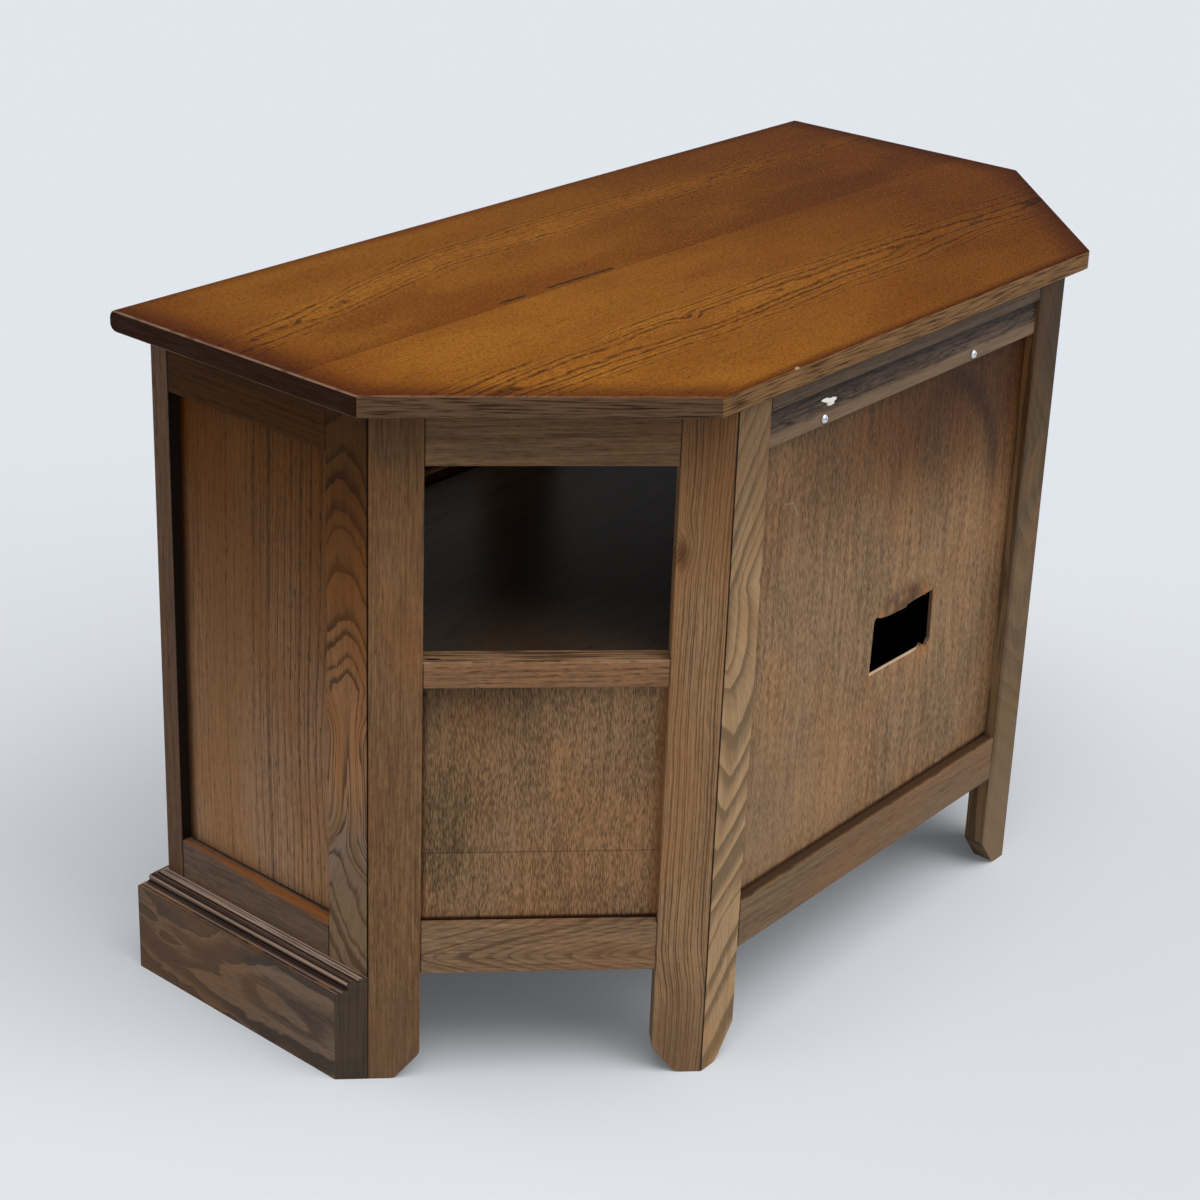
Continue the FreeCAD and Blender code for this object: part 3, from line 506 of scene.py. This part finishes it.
def make_side():
    made = member("side_rear_stile", "side", "z", tone(153, 115, 84), 3.0, figure=stile_figure,
                  mitre=SIDE_LENGTH, spread=0.55, ring=1.3, fibre=0.45, grit=0.5, broad=0.5, pore=0.2,
                  warm=tone(158, 106, 44), depth=0.016, taper=0.75, turn=-1.0, warp=0.022, fade=0.66)
    for _, board in made:
        # greyer below, and darker under the top as painted shade under its overhang
        board.darken(board.net.ramp(board.z, 0.29, 0.19), tone(194, 218, 255), 1.0)
        board.darken(board.net.ramp(board.z, 0.42, 0.57), tone(184, 196, 206), 1.0)
    shade_side(made)
    finish(made, specular=0.05)
    made = member("side_top_rail", "side", "u", tone(111, 84, 34), 4.0, seams=SIDE_SEAMS[:1], ring=0.6,
                  pore=0.2, pith=0.53, depth=0.03, pitch=0.0035, taper=0.01)
    shade_side(made)
    finish(made, specular=0.05)
    made = member("side_bottom_rail", "side", "u", tone(98, 77, 63), 5.0, seams=SIDE_SEAMS, ring=0.3,
                  pore=0.4, pith=0.16, depth=0.03, pitch=0.0032, taper=0.05)
    for _, board in made:
        net = board.net
        # the upper arris is rubbed through to orange wood and also carries a painted highlight, in a band
        # that widens towards the rear
        rough = net.times(net.less(board.spare, 0.5), 0.005)
        grow = net.times(net.less(board.u, SIDE_SEAMS[0]), 0.040)
        wear_and_highlight = net.ramp(net.sum(net.less(board.z, 0.1342), grow, rough), -0.0004, 0.0010)
        orange = net.mix(board.fibre, tone(166, 98, 36), tone(92, 56, 26))
        strength = net.blend(net.ramp(board.u, 0.03, 0.12), 0.45, 0.85)
        board.tint(wear_and_highlight, orange, net.times(net.ramp(board.w, 0.006, 0.003), strength))
        # painted shade on the back part of the rail's upper face, in the corner with the panel
        board.darken(net.ramp(board.w, 0.0055, 0.0095), tone(90, 70, 56), 0.9)
    finish(made)
    for side in sides_of("side_panel"):
        board = Board(side, "side", "z", side.startswith("left_"))
        board.sawn(tone(141, 110, 85), spread=0.42, seed=8.0, ring=1.1, fibre=0.6, broad=0.5, pore=0.8,
                   warm=tone(150, 104, 60), warm_share=0.45,
                   ring_mask=board.net.ramp(board.u, 0.09, 0.175, 0.4, 1.0),
                   pith=0.190, depth=0.003, pitch=0.0050, taper=0.020, turn=0.27, warp=0.0026, fade=0.5)
        # painted shadow of the front stile on the recessed panel
        board.darken(board.net.ramp(board.u, 0.032, 0.020), tone(96, 72, 60), 0.9)
        shade_side([(side, board)])
        dress(side, board.done(specular=0.05))
    made = member("front_stile", "front", "z", tone(92, 66, 46), 9.0, ring=0.3, pore=0.4, pith=0.80,
                  depth=0.03, pitch=0.003, taper=0.01)
    for _, board in made:
        # the reveal that faces the side panel is tinted nearly black, as painted shade in the recess
        net = board.net
        reveal = net.times(net.ramp(board.w, 0.0190, 0.0198), net.ramp(board.u, 0.855, 0.870))
        board.tint(reveal, tone(26, 18, 14), 0.9)
    finish(made)


def stile_figure(net, u, z):
    """Arches that point up. Halfway down they are long and narrow, and below that only their rear flanks
    are seen."""
    slender = net.near(z, 0.27, 0.03, 0.06)
    middle = net.ramp(z, 0.25, 0.12, 0.2225, 0.190)
    across = net.times(net.less(u, middle), net.sum(1.0, net.times(slender, 4.0)))
    reach = net.math("MINIMUM", net.math("MAXIMUM", net.less(0.33, z), 0.0), 0.11)
    return net.sum(z, net.times(reach, 0.65)), across, 0.019


def shade_side(made):
    """The side frames are darker and redder towards the top, as painted shade under the top's overhang."""
    for _, board in made:
        board.darken(board.net.ramp(board.z, 0.12, 0.57), tone(152, 122, 62), 1.0)


# Diagonal wall

def make_diagonal():
    made = member("diagonal_front_stile", "diagonal", "z", tone(118, 88, 60), 12.0, mitre=0.0, spread=0.34,
                  grit=1.1, ring=0.25, fibre=0.9, broad=0.7, pore=0.3, warm=WARM, pith=-0.03, depth=0.02,
                  pitch=0.0030, taper=-0.012, warp=0.0022)
    shade_diagonal(made)
    finish(made)
    made = member("diagonal_rear_stile", "diagonal", "z", tone(133, 104, 75), 13.0, figure=foot_figure,
                  mitre=DIAGONAL_LENGTH, spread=0.48, ring=1.3, fibre=0.5, broad=0.6, pore=0.2,
                  warm=tone(152, 102, 58), depth=0.02, taper=0.014, warp=0.0036, knot_x=0.478, knot_y=-0.091,
                  knot=0.010)
    for _, board in made:
        knot = board.net.spot(board.z, board.u, (0.472, 0.240), (0.020, 0.0080), 0.9)
        board.darken(knot, tone(150, 134, 120), 0.8)
    shade_diagonal(made)
    finish(made)
    made = member("diagonal_top_rail", "diagonal", "u", tone(133, 107, 81), 14.0, seams=DIAGONAL_SEAMS,
                  spread=0.44, ring=0.4, warm=WARM, warm_share=0.25, pith=0.63, depth=0.02, pitch=0.0042,
                  taper=0.012)
    shade_diagonal(made)
    finish(made)
    made = member("diagonal_mid_rail", "diagonal", "u", tone(137, 101, 72), 15.0, seams=DIAGONAL_SEAMS,
                  ring=0.35, pore=0.75, pith=0.34, depth=0.02, pitch=0.0042, taper=-0.02)
    for _, board in made:
        # streaky upper face with a crack, and a painted highlight on the front arris
        net = board.net
        upper = net.ramp(board.z, SHELF_LEVEL - 0.0008, SHELF_LEVEL - 0.0001)
        streaks = net.noise(net.scaled(board.grain, 22, 420, 420), 3.0)
        board.tint(upper, net.mix(net.ramp(streaks, 0.36, 0.62), tone(156, 122, 88), tone(74, 52, 36)), 0.9)
        arris = net.times(net.near(board.w, 0.0006, 0.0008, 0.0006),
                          net.ramp(board.z, SHELF_LEVEL - 0.0020, SHELF_LEVEL - 0.0008))
        board.tint(net.times(arris, net.ramp(board.spare, 0.45, 0.62)), tone(176, 146, 118), 0.5)
        crack = net.times(net.spot(board.u, board.w, (0.050, 0.006), (0.009, 0.0022)), upper)
        board.tint(crack, tone(14, 9, 6), 0.95)
    finish(made)
    finish(member("diagonal_bottom_rail", "diagonal", "u", tone(124, 99, 75), 16.0, seams=DIAGONAL_SEAMS,
                  spread=0.44, ring=0.6, warm=WARM, warm_share=0.25, pith=0.116, depth=0.004, pitch=0.0042,
                  taper=0.24, turn=0.30, warp=0.004, pore=0.35))
    low, far = DIAGONAL_SEAMS
    for side in sides_of("diagonal_panel"):
        board = Board(side, "diagonal", "z", side.startswith("left_"))
        board.veneer(tone(125, 98, 72), spread=0.55, seed=2.0, warm=tone(150, 108, 70), fleck=1.5, cloud=0.9)
        board.tint(board.net.ramp(board.fleck, 0.44, 0.30), tone(172, 130, 88), 0.4)
        net = board.net
        corner = net.times(net.ramp(board.z, 0.27, 0.36), net.ramp(board.u, 0.17, 0.09))
        board.darken(corner, tone(190, 190, 186))
        patch = net.spot(board.u, board.z, (0.070, 0.245), (0.050, 0.100), 1.0)
        board.darken(patch, tone(222, 228, 222), 1.0)
        # warmer beside the rear stile, a fine joint, and shade along the bottom rail and the front stile
        board.tint(net.ramp(board.u, far - 0.008, far - 0.004), tone(134, 88, 50), 0.5)
        board.seam(board.z, 0.2075, 0.0002, 0.0006, 0.6, tone(130, 110, 95))
        foot = net.ramp(board.z, BOTTOM_RAIL_TOP + 0.005, BOTTOM_RAIL_TOP + 0.0015)
        board.darken(foot, tone(84, 50, 40), 0.95)
        board.darken(net.ramp(board.u, low + 0.0055, low + 0.001), tone(150, 130, 120), 0.8)
        dress(side, board.done(bump=0.35))


def foot_figure(net, u, z):
    """Straight fine rings, with a bend above the foot."""
    return z, net.less(net.less(u, 0.330), net.ramp(z, 0.130, 0.065, 0.0, 0.008)), 0.0027


def shade_diagonal(made):
    """The diagonal frames are darker towards the top, as painted shade under the top's overhang, and darker
    near the floor.
    """
    for _, board in made:
        board.darken(board.net.ramp(board.z, 0.42, 0.60), tone(196, 186, 174), 1.0)
        board.tint(board.net.ramp(board.z, 0.12, 0.03), tone(98, 80, 62), 0.45)


# Back wall

def make_back_stiles():
    for node, flip, seed in (("back_right_stile", False, 21.0), ("back_left_stile", True, 22.4)):
        board = Board(node, "back", "z", flip)
        net = board.net
        # wide arches that point down, closer together above
        off = net.less(board.z, 0.290)
        middle = net.math("MAXIMUM", net.less(0.018, net.times(off, off, 2.2)), -0.03)
        upper = net.ramp(board.z, 0.33, 0.46)
        across = net.times(net.less(board.u, middle), net.sum(1.0, net.times(upper, 1.6)))
        along = net.sum(board.z, net.times(net.math("MAXIMUM", net.less(board.z, 0.35), 0.0), 0.8))
        mean = tone(95, 79, 57) if flip else tone(148, 120, 87)
        board.sawn(mean, spread=0.42, seed=seed, ring=0.4 if flip else 1.25, fibre=0.45, grit=0.5, broad=0.5,
                   pore=0.12, warm=tone(150, 106, 62), warm_share=0.25, depth=0.003, pitch=0.032, taper=-0.85,
                   warp=0.008, fade=0.8, ring_mask=net.ramp(board.z, 0.42, 0.56, 1.0, 0.5),
                   vector=net.join(along, across, board.w))
        # painted shade under the top's overhang
        board.darken(net.ramp(board.z, 0.40, 0.59), tone(192, 186, 182), 1.0)
        board.seam(board.u, 0.0, 0.0004, 0.0005, 1.0, NEARLY_BLACK)
        board.tint(net.ramp(board.w, FRAME_THICKNESS - 0.0008, FRAME_THICKNESS - 0.0001), INSIDE)
        if flip:
            # the reveal beside the panel is dark, with some orange
            reveal = net.times(net.ramp(board.u, BACK_STILE - 0.001, BACK_STILE - 0.0002),
                               net.ramp(board.w, 0.0005, 0.0012))
            streaks = net.noise(net.scaled(board.grain, 12, 300, 300), 2.0)
            streaked = net.mix(net.ramp(streaks, 0.45, 0.6), tone(119, 99, 76), tone(170, 141, 108))
            board.tint(reveal, streaked, 0.95)
            board.darken(net.ramp(board.u, 0.032, 0.040), tone(190, 180, 170), 0.8)
            board.darken(net.ramp(board.z, 0.28, 0.50), tone(222, 204, 178), 1.0)
            leg = net.times(net.ramp(board.z, 0.16, 0.06), net.ramp(board.w, 0.002, 0.001))
            board.tint(leg, tone(128, 104, 76), 0.7)
        dress(node, board.done())


def make_back_rails():
    finish(member("back_top_rail", "back", "u", tone(82, 65, 49), 23.0, seams=BACK_SEAMS, spread=0.4,
                  ring=0.4, pith=0.62, depth=0.02, pitch=0.0036, taper=0.012))
    made = member("back_bottom_rail", "back", "u", tone(112, 89, 65), 24.0, seams=BACK_SEAMS, spread=0.30,
                  ring=0.22, warm=WARM, warm_share=0.2, pore=0.25, pith=0.105, depth=0.02, pitch=0.0060,
                  taper=0.03, warp=0.003)
    for _, board in made:
        net = board.net
        top_face = net.ramp(board.z, BOTTOM_RAIL_TOP - 0.0008, BOTTOM_RAIL_TOP - 0.0001)
        board.tint(top_face, tone(56, 40, 28), 0.85)
        # a painted highlight along the upper arris
        arris = net.times(net.near(board.z, BOTTOM_RAIL_TOP - 0.0003, 0.0007, 0.0006),
                          net.ramp(board.w, 0.003, 0.001))
        board.tint(net.times(arris, net.ramp(board.spare, 0.3, 0.5)), tone(140, 104, 68), 0.4)
    finish(made)
    board = Board("back_batten", "back", "u")
    board.sawn(tone(78, 62, 50), spread=0.55, seed=25.0, ring=0.3, fibre=1.2, grit=1.4, broad=0.7, pore=0.9,
               pith=0.566, depth=0.004, pitch=0.0034, taper=0.10, turn=0.22, warp=0.004)
    net = board.net
    lower = net.ramp(net.sum(board.z, net.times(net.less(board.spare, 0.5), 0.004)), 0.5600, 0.5545)
    board.tint(lower, net.mix(board.fibre, tone(144, 118, 90), tone(96, 76, 58)), 0.8)
    board.darken(net.ramp(board.z, 0.558, 0.577), tone(150, 145, 142), 1.0)
    dress("back_batten", board.done(bump=0.5))


def make_back_panel():
    board = Board("back_panel", "back", "z")
    board.veneer(tone(131, 104, 76), spread=0.50, seed=5.0, fleck=1.5, streak=0.7, cloud=0.6,
                 warm=tone(152, 110, 72), warm_share=0.40)
    net = board.net
    u, z = board.u, board.z
    # an arch in the veneer, upper right as seen from behind
    arch_a = net.math("DIVIDE", net.less(u, 0.318), 0.085)
    arch_b = net.math("DIVIDE", net.less(z, 0.395), 0.133)
    arch = net.times(net.near(net.length(arch_a, arch_b), 1.0, 0.01, 0.14), net.ramp(z, 0.34, 0.46),
                     net.ramp(u, 0.28, 0.345, 0.3, 1.0))
    board.darken(arch, tone(192, 184, 180), 0.9)
    board.tint(net.times(net.ramp(z, 0.32, 0.18), net.ramp(u, 0.25, 0.08)), tone(152, 124, 96), 0.30)
    # darker towards the top and above the hole, with painted shade along the sides beside the stiles and in
    # the corner over the bottom rail
    upper = net.times(net.ramp(z, 0.38, 0.53), net.ramp(u, 0.04, 0.22, 0.45, 1.0))
    board.darken(upper, tone(168, 144, 118), 0.95)
    board.darken(net.times(net.ramp(z, 0.36, 0.50), net.ramp(u, 0.18, 0.30)), tone(210, 196, 174), 1.0)
    board.darken(net.ramp(u, 0.375, 0.43), tone(215, 205, 196), 0.9)
    board.darken(net.ramp(u, 0.066, 0.043), tone(196, 194, 192), 0.9)
    hole_u, hole_z = CABLE_HOLE
    smudge = net.times(net.spot(u, z, (hole_u, hole_z + 0.0315), (0.052, 0.020), 0.75),
                       net.ramp(board.spare, 0.30, 0.55))
    board.darken(smudge, tone(150, 138, 134), 0.9)
    board.darken(net.ramp(z, BOTTOM_RAIL_TOP + 0.006, BOTTOM_RAIL_TOP + 0.0015), tone(110, 76, 60), 0.9)
    # a faint scratch in the upper left
    for start, end in (((0.083, 0.486), (0.093, 0.484)), ((0.093, 0.484), (0.101, 0.472))):
        board.tint(net.stroke(u, z, start, end, 0.0006, 0.0008), tone(150, 136, 118), 0.4)
    # raw wood on the sawn edge of the cable hole, pale on its lower face as painted light
    rim = net.times(net.near(u, hole_u, 0.0500, 0.001), net.near(z, hole_z, 0.0300, 0.001))
    inside = net.times(rim, net.ramp(board.w, 0.0101, 0.0104))
    pale = net.times(net.ramp(z, 0.290, 0.285), net.ramp(u, 0.306, 0.302))
    board.tint(inside, net.mix(pale, tone(112, 88, 66), RAW_PALE), 0.95)
    torn = net.times(net.spot(u, z, (0.314, 0.2800), (0.013, 0.010)), net.ramp(board.spare, 0.45, 0.6))
    board.tint(torn, RAW_ORANGE, 0.35)
    dress("back_panel", board.done(bump=0.35))


# Plinth

def make_plinth():
    # the sides have wide wavy rings, and the front has calmer ones
    figures = {
        "front": {"seed": 33.0, "pith": 0.046, "depth": 0.006, "pitch": 0.011, "taper": 0.08, "turn": -0.25,
                  "warp": 0.012},
        "side": {"seed": 31.0, "pith": 0.052, "depth": 0.012, "pitch": 0.036, "taper": 0.20, "turn": 0.16,
                 "warp": 0.072},
    }
    for side in sides_of("plinth_side") + ["plinth_front"]:
        wall = "front" if side == "plinth_front" else "side"
        board = Board(side, wall, "u", side.startswith("left_"))
        board.sawn(tone(101, 82, 66), spread=0.45, ring=1.1, fibre=0.35, broad=0.7, pore=0.2,
                   warm=tone(132, 92, 56), warm_share=0.5, fade=0.9, **figures[wall])
        net = board.net
        board.tint(board.ring, tone(62, 54, 50), 0.45)
        # the moulding: streaks along it, dark hollows, a rubbed lower arris that also carries a painted
        # highlight, and a painted highlight on the crest
        moulding = net.ramp(board.z, PLINTH_FACE_TOP - 0.0005, PLINTH_FACE_TOP + 0.0005)
        stripes = net.noise(net.scaled(board.grain, 3, 700, 700), 2.0)
        striped = net.mix(net.ramp(stripes, 0.38, 0.56), tone(164, 138, 122), tone(50, 38, 30))
        board.tint(moulding, striped, 0.85)
        hollow = net.sum(net.near(board.z, 0.0865, 0.0010, 0.0012), net.near(board.z, 0.0940, 0.0005, 0.0008))
        board.darken(hollow, tone(120, 102, 94), 1.0)
        rubbed_and_highlit = net.times(net.near(board.z, 0.0832, 0.0004, 0.0006), net.ramp(board.spare, 0.42, 0.60))
        board.tint(rubbed_and_highlit, tone(128, 84, 44), 0.5)
        crest = net.times(net.ramp(board.z, 0.0940, 0.0965), net.ramp(board.fibre, 0.4, 0.65))
        board.tint(crest, tone(178, 158, 142), 0.55)
        # end grain on the ends that are flush with the diagonal walls
        end_faces = net.sum(board.faces((COS_45, COS_45, 0)), board.faces((-COS_45, COS_45, 0)))
        lines = net.noise(net.scaled(board.point, 600, 600, 14), 3.0)
        board.tint(end_faces, net.mix(net.ramp(lines, 0.3, 0.7), tone(74, 62, 51), tone(60, 50, 41)), 0.95)
        dress(side, board.done())


# Hidden front, shelf, floor and cleats

def make_inside():
    for node, seed in (("shelf", 41.0), ("floor_board", 42.0), ("support_cleats", 43.0)):
        board = Board(node, "level", "u")
        vector = board.net.join(board.u, board.w, board.z)
        board.sawn(tone(58, 45, 34), spread=0.4, seed=seed, ring=0.3, pore=0.4, pith=0.08, depth=0.02,
                   pitch=0.006, taper=0.03, vector=vector)
        board.shine = board.net.sum(0.24, board.net.times(board.fibre, 0.12))
        dress(node, board.done(bump=0.1, specular=0.14))


def make_front():
    seed = 50.0
    for name in ("front_top_rail", "front_bottom_rail", "front_mid_rail", "door_top_rail",
                 "door_bottom_rail"):
        seed += 1
        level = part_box(sides_of(name)[0])[0].z
        finish(member(name, "front", "u", tone(116, 86, 60), seed, inside=DOOR_INSIDE, ring=0.35, warm=WARM,
                      pith=level - 0.01, depth=0.02, pitch=0.004, taper=0.03))
    for name in ("front_centre_stile", "door_closing_stile", "door_hinge_stile", "door_panel"):
        seed += 1
        low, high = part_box(sides_of(name)[0])
        middle = abs(low.x + high.x) / 2 + HALF_WIDTH
        finish(member(name, "front", "z", tone(118, 88, 62), seed, inside=DOOR_INSIDE, ring=0.6, warm=WARM,
                      pith=middle, depth=0.006, pitch=0.008, taper=0.22, turn=-0.4, warp=0.006))


# Metal and plastic

BRASS_NODES = ("frame_hinge_leaves", "hinge_pins", "left_door_hinge_leaves", "right_door_hinge_leaves",
               "left_door_knob", "right_door_knob")


def plain_net(name):
    material = bpy.data.materials.new(name)
    material.use_nodes = True
    material.node_tree.nodes.clear()
    net = Net(material.node_tree)
    return material, net, net.add("ShaderNodeTexCoord").outputs["Object"]


def make_metal(name, colour, stain, rough):
    material, net, point = plain_net(name)
    patches = net.noise(net.scaled(point, 400, 400, 400), 3.0)
    scratches = net.noise(net.scaled(point, 900, 900, 3000))
    shine = net.sum(rough, net.times(scratches, 0.2))
    base = net.mix(net.ramp(patches, 0.45, 0.7), colour, stain)
    net.surface({"Base Color": base, "Roughness": shine, "Metallic": 1.0,
                 "Normal": net.bump(scratches, 0.2, 0.0002)})
    return material


def make_plain(name, light, dark, rough, scale=300.0):
    material, net, point = plain_net(name)
    patches = net.noise(net.scaled(point, scale, scale, scale), 3.0)
    shine = net.sum(rough, net.times(patches, 0.2))
    net.surface({"Base Color": net.mix(patches, light, dark), "Roughness": shine,
                 "Normal": net.bump(patches, 0.3, 0.0003)})
    return material


def make_hardware():
    brass = make_metal("aged_brass", tone(182, 146, 88), tone(146, 112, 66), 0.30)
    zinc = make_metal("zinc", tone(240, 243, 248), tone(196, 199, 204), 0.30)
    plastic = make_plain("catch_plastic", tone(70, 50, 36), tone(46, 32, 24), 0.5)
    for node in BRASS_NODES:
        dress(node, brass)
    for node in ("batten_screws", "left_door_strike", "right_door_strike"):
        dress(node, zinc)
    dress("door_catches", plastic)


# Small pieces that only the photo shows

def mesh_piece(name, points, faces, material, body):
    mesh = bpy.data.meshes.new(name)
    mesh.from_pydata(points, [], faces)
    mesh.validate()
    mesh.materials.append(material)
    piece = bpy.data.objects.new(name, mesh)
    bpy.context.scene.collection.objects.link(piece)
    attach(piece, body)


def make_fleck():
    """Lump of white filler on the batten: an uneven outline, raised in the middle."""
    chance = random.Random(4)
    count = 18
    centre = (0.1168, 0.5650)
    half_width = 0.0088
    half_height = 0.0034
    points = []
    for share, lift in ((1.0, 0.0), (0.86, 0.0008), (0.5, 0.0013)):
        for index in range(count):
            angle = 2 * math.pi * index / count
            reach = 1 + 0.28 * math.sin(3 * angle + 0.6) + 0.16 * math.sin(5 * angle + 2.0)
            across = math.cos(angle) * half_width * reach * share
            up = math.sin(angle) * half_height * reach * share + across * 0.22
            bump = chance.uniform(0, 0.0003) if lift else 0
            points.append((centre[0] + across, BATTEN_Y + lift + bump, centre[1] + up))
    points.append((centre[0], BATTEN_Y + 0.0016, centre[1]))
    faces = []
    for start in (0, count):
        for index in range(count):
            following = (index + 1) % count
            faces.append((start + index, start + count + index, start + count + following, start + following))
    last = 2 * count
    faces += [(last + index, len(points) - 1, last + (index + 1) % count) for index in range(count)]
    filler = make_plain("white_filler", tone(250, 249, 245), tone(226, 223, 214), 0.55, 500.0)
    mesh_piece("filler_fleck", points, faces, filler, "cabinet")


def sliver(start, end, width, lift, bend=0.0):
    """Thin pointed splinter lying on the back panel, between two places (X, Z)."""
    along = Vector((end[0] - start[0], end[1] - start[1]))
    side = Vector((-along.y, along.x)).normalized()
    points = []
    for share, half in ((0.0, 0.35), (0.25, 0.5), (0.6, 0.36), (1.0, 0.02)):
        centre = Vector(start) + along * share + side * (bend * math.sin(math.pi * share))
        for turn in (-1, 1):
            edge = centre + side * (turn * half * width)
            points.append((edge.x, BACK_PANEL_Y, edge.y))
        points.append((centre.x, BACK_PANEL_Y + lift * (1 - 0.6 * share), centre.y))
    faces = []
    for level in range(3):
        a = level * 3
        b = a + 3
        faces += [(a, a + 2, b + 2, b), (a + 2, a + 1, b + 1, b + 2), (a + 1, a, b, b + 1)]
    faces += [(0, 1, 2), (9, 11, 10)]
    return points, faces


def make_splinters():
    wood = make_plain("raw_splinter", RAW_ORANGE, tone(136, 84, 44), 0.6, 260.0)
    pieces = [((0.0135, 0.2815), (0.0146, 0.2647), 0.0024, 0.0010, 0.0006),
              ((0.0090, 0.2820), (0.0078, 0.2762), 0.0022, 0.0008, 0.0),
              ((0.0012, 0.3345), (-0.0010, 0.3430), 0.0036, 0.0012, -0.0006),
              ((-0.0648, 0.3345), (-0.0654, 0.3450), 0.0034, 0.0012, 0.0005),
              ((-0.0808, 0.3262), (-0.0797, 0.3368), 0.0024, 0.0010, 0.0),
              ((-0.0785, 0.2815), (-0.0803, 0.2730), 0.0030, 0.0010, 0.0),
              ((-0.0700, 0.2815), (-0.0690, 0.2720), 0.0026, 0.0009, 0.0),
              ((-0.0625, 0.2830), (-0.0610, 0.2868), 0.0024, 0.0009, 0.0)]
    points = []
    faces = []
    for piece in pieces:
        new_points, new_faces = sliver(*piece)
        faces += [tuple(index + len(points) for index in face) for face in new_faces]
        points += new_points
    mesh_piece("hole_splinters", points, faces, wood, "cabinet")


# Softened edges

def soften():
    """The boards get rounded arrises that catch the light."""
    for name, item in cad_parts.items():
        if name in BRASS_NODES + ("batten_screws", "back_panel"):
            continue
        weld = item.modifiers.new("weld", "WELD")
        weld.merge_threshold = 0.00002
        bevel = item.modifiers.new("bevel", "BEVEL")
        bevel.width = 0.0006
        bevel.segments = 2
        bevel.limit_method = "ANGLE"
        bevel.angle_limit = math.radians(40)
        bevel.harden_normals = True


# Stage, lights and camera

def seen_share(net):
    """1 for the rays that show the surroundings, directly or in metal and glass."""
    path = net.add("ShaderNodeLightPath").outputs
    return net.math("MAXIMUM", net.math("MAXIMUM", path["Is Camera Ray"], path["Is Glossy Ray"]),
                    path["Is Transmission Ray"])


def make_stage():
    scene = bpy.context.scene
    scene.view_settings.view_transform = "Standard"
    bpy.ops.mesh.primitive_plane_add(size=60, location=(0, 0, 0))
    floor = bpy.context.object
    floor.name = "studio_floor"
    material, net, _ = plain_net("studio_floor")
    shown = seen_share(net)
    matt = net.add("ShaderNodeBsdfDiffuse", {"Color": net.mix(shown, FLOOR_BOUNCE, FLOOR_COLOUR)})
    glow = net.add("ShaderNodeEmission", {"Color": BACKGROUND, "Strength": 1.0})
    share = net.times(shown, SHADOW_LIFT)
    blend = net.add("ShaderNodeMixShader", {0: share, 1: matt.outputs[0], 2: glow.outputs[0]})
    net.put(net.add("ShaderNodeOutputMaterial").inputs["Surface"], blend.outputs[0])
    floor.data.materials.append(material)
    world = bpy.data.worlds.new("studio")
    scene.world = world
    world.use_nodes = True
    world.node_tree.nodes.clear()
    net = Net(world.node_tree)
    # a pale wall beyond the floor, under a darker ceiling
    height = net.split(net.add("ShaderNodeTexCoord").outputs["Generated"])[2]
    wall = net.times(seen_share(net), net.ramp(height, 0.19, 0.23, 1.0, 0.0))
    colour = net.mix(wall, (1.0, 0.99, 0.97, 1.0), BACKGROUND)
    strength = net.blend(wall, WORLD_STRENGTH, 1.0)
    shader = net.add("ShaderNodeBackground", {"Color": colour, "Strength": strength})
    net.put(net.add("ShaderNodeOutputWorld").inputs["Surface"], shader.outputs[0])
    for name, azimuth, elevation, angle, strength in LAMPS:
        lamp = bpy.data.lights.new(name, "SUN")
        lamp.energy = strength
        lamp.angle = math.radians(angle)
        item = bpy.data.objects.new(name, lamp)
        scene.collection.objects.link(item)
        turn = math.radians(azimuth)
        rise = math.radians(elevation)
        towards = Vector((math.cos(turn) * math.cos(rise), math.sin(turn) * math.cos(rise), math.sin(rise)))
        item.rotation_mode = "QUATERNION"
        item.rotation_quaternion = towards.to_track_quat("Z", "Y")


def make_camera():
    """The photograph's camera, worked out from the cabinet's edges in its frame of 1200 by 1200 pixels."""
    frame_size = 1200
    focal_length = 2460.56
    centre = (600.984, 460.210)
    camera = bpy.data.cameras.new("camera")
    item = bpy.data.objects.new("camera", camera)
    bpy.context.scene.collection.objects.link(item)
    bpy.context.scene.camera = item
    right = Vector((-0.64388223, 0.76434059, 0.03462853))
    down = Vector((0.26305124, 0.26364086, -0.92806117))
    forward = Vector((-0.71848432, -0.58845302, -0.37081441))
    turn = Matrix((right, -down, -forward)).transposed()
    item.matrix_world = Matrix.Translation(Vector((1.635446, 1.238924, 1.233203))) @ turn.to_4x4()
    camera.sensor_width = 36
    camera.lens = camera.sensor_width * focal_length / frame_size
    camera.shift_x = (frame_size / 2 - centre[0]) / frame_size
    camera.shift_y = (centre[1] - frame_size / 2) / frame_size
    camera.clip_end = 100


make_top()
make_side()
make_diagonal()
make_back_stiles()
make_back_rails()
make_back_panel()
make_plinth()
make_inside()
make_front()
make_hardware()
make_fleck()
make_splinters()
soften()
make_stage()
make_camera()

bpy.context.view_layer.update()
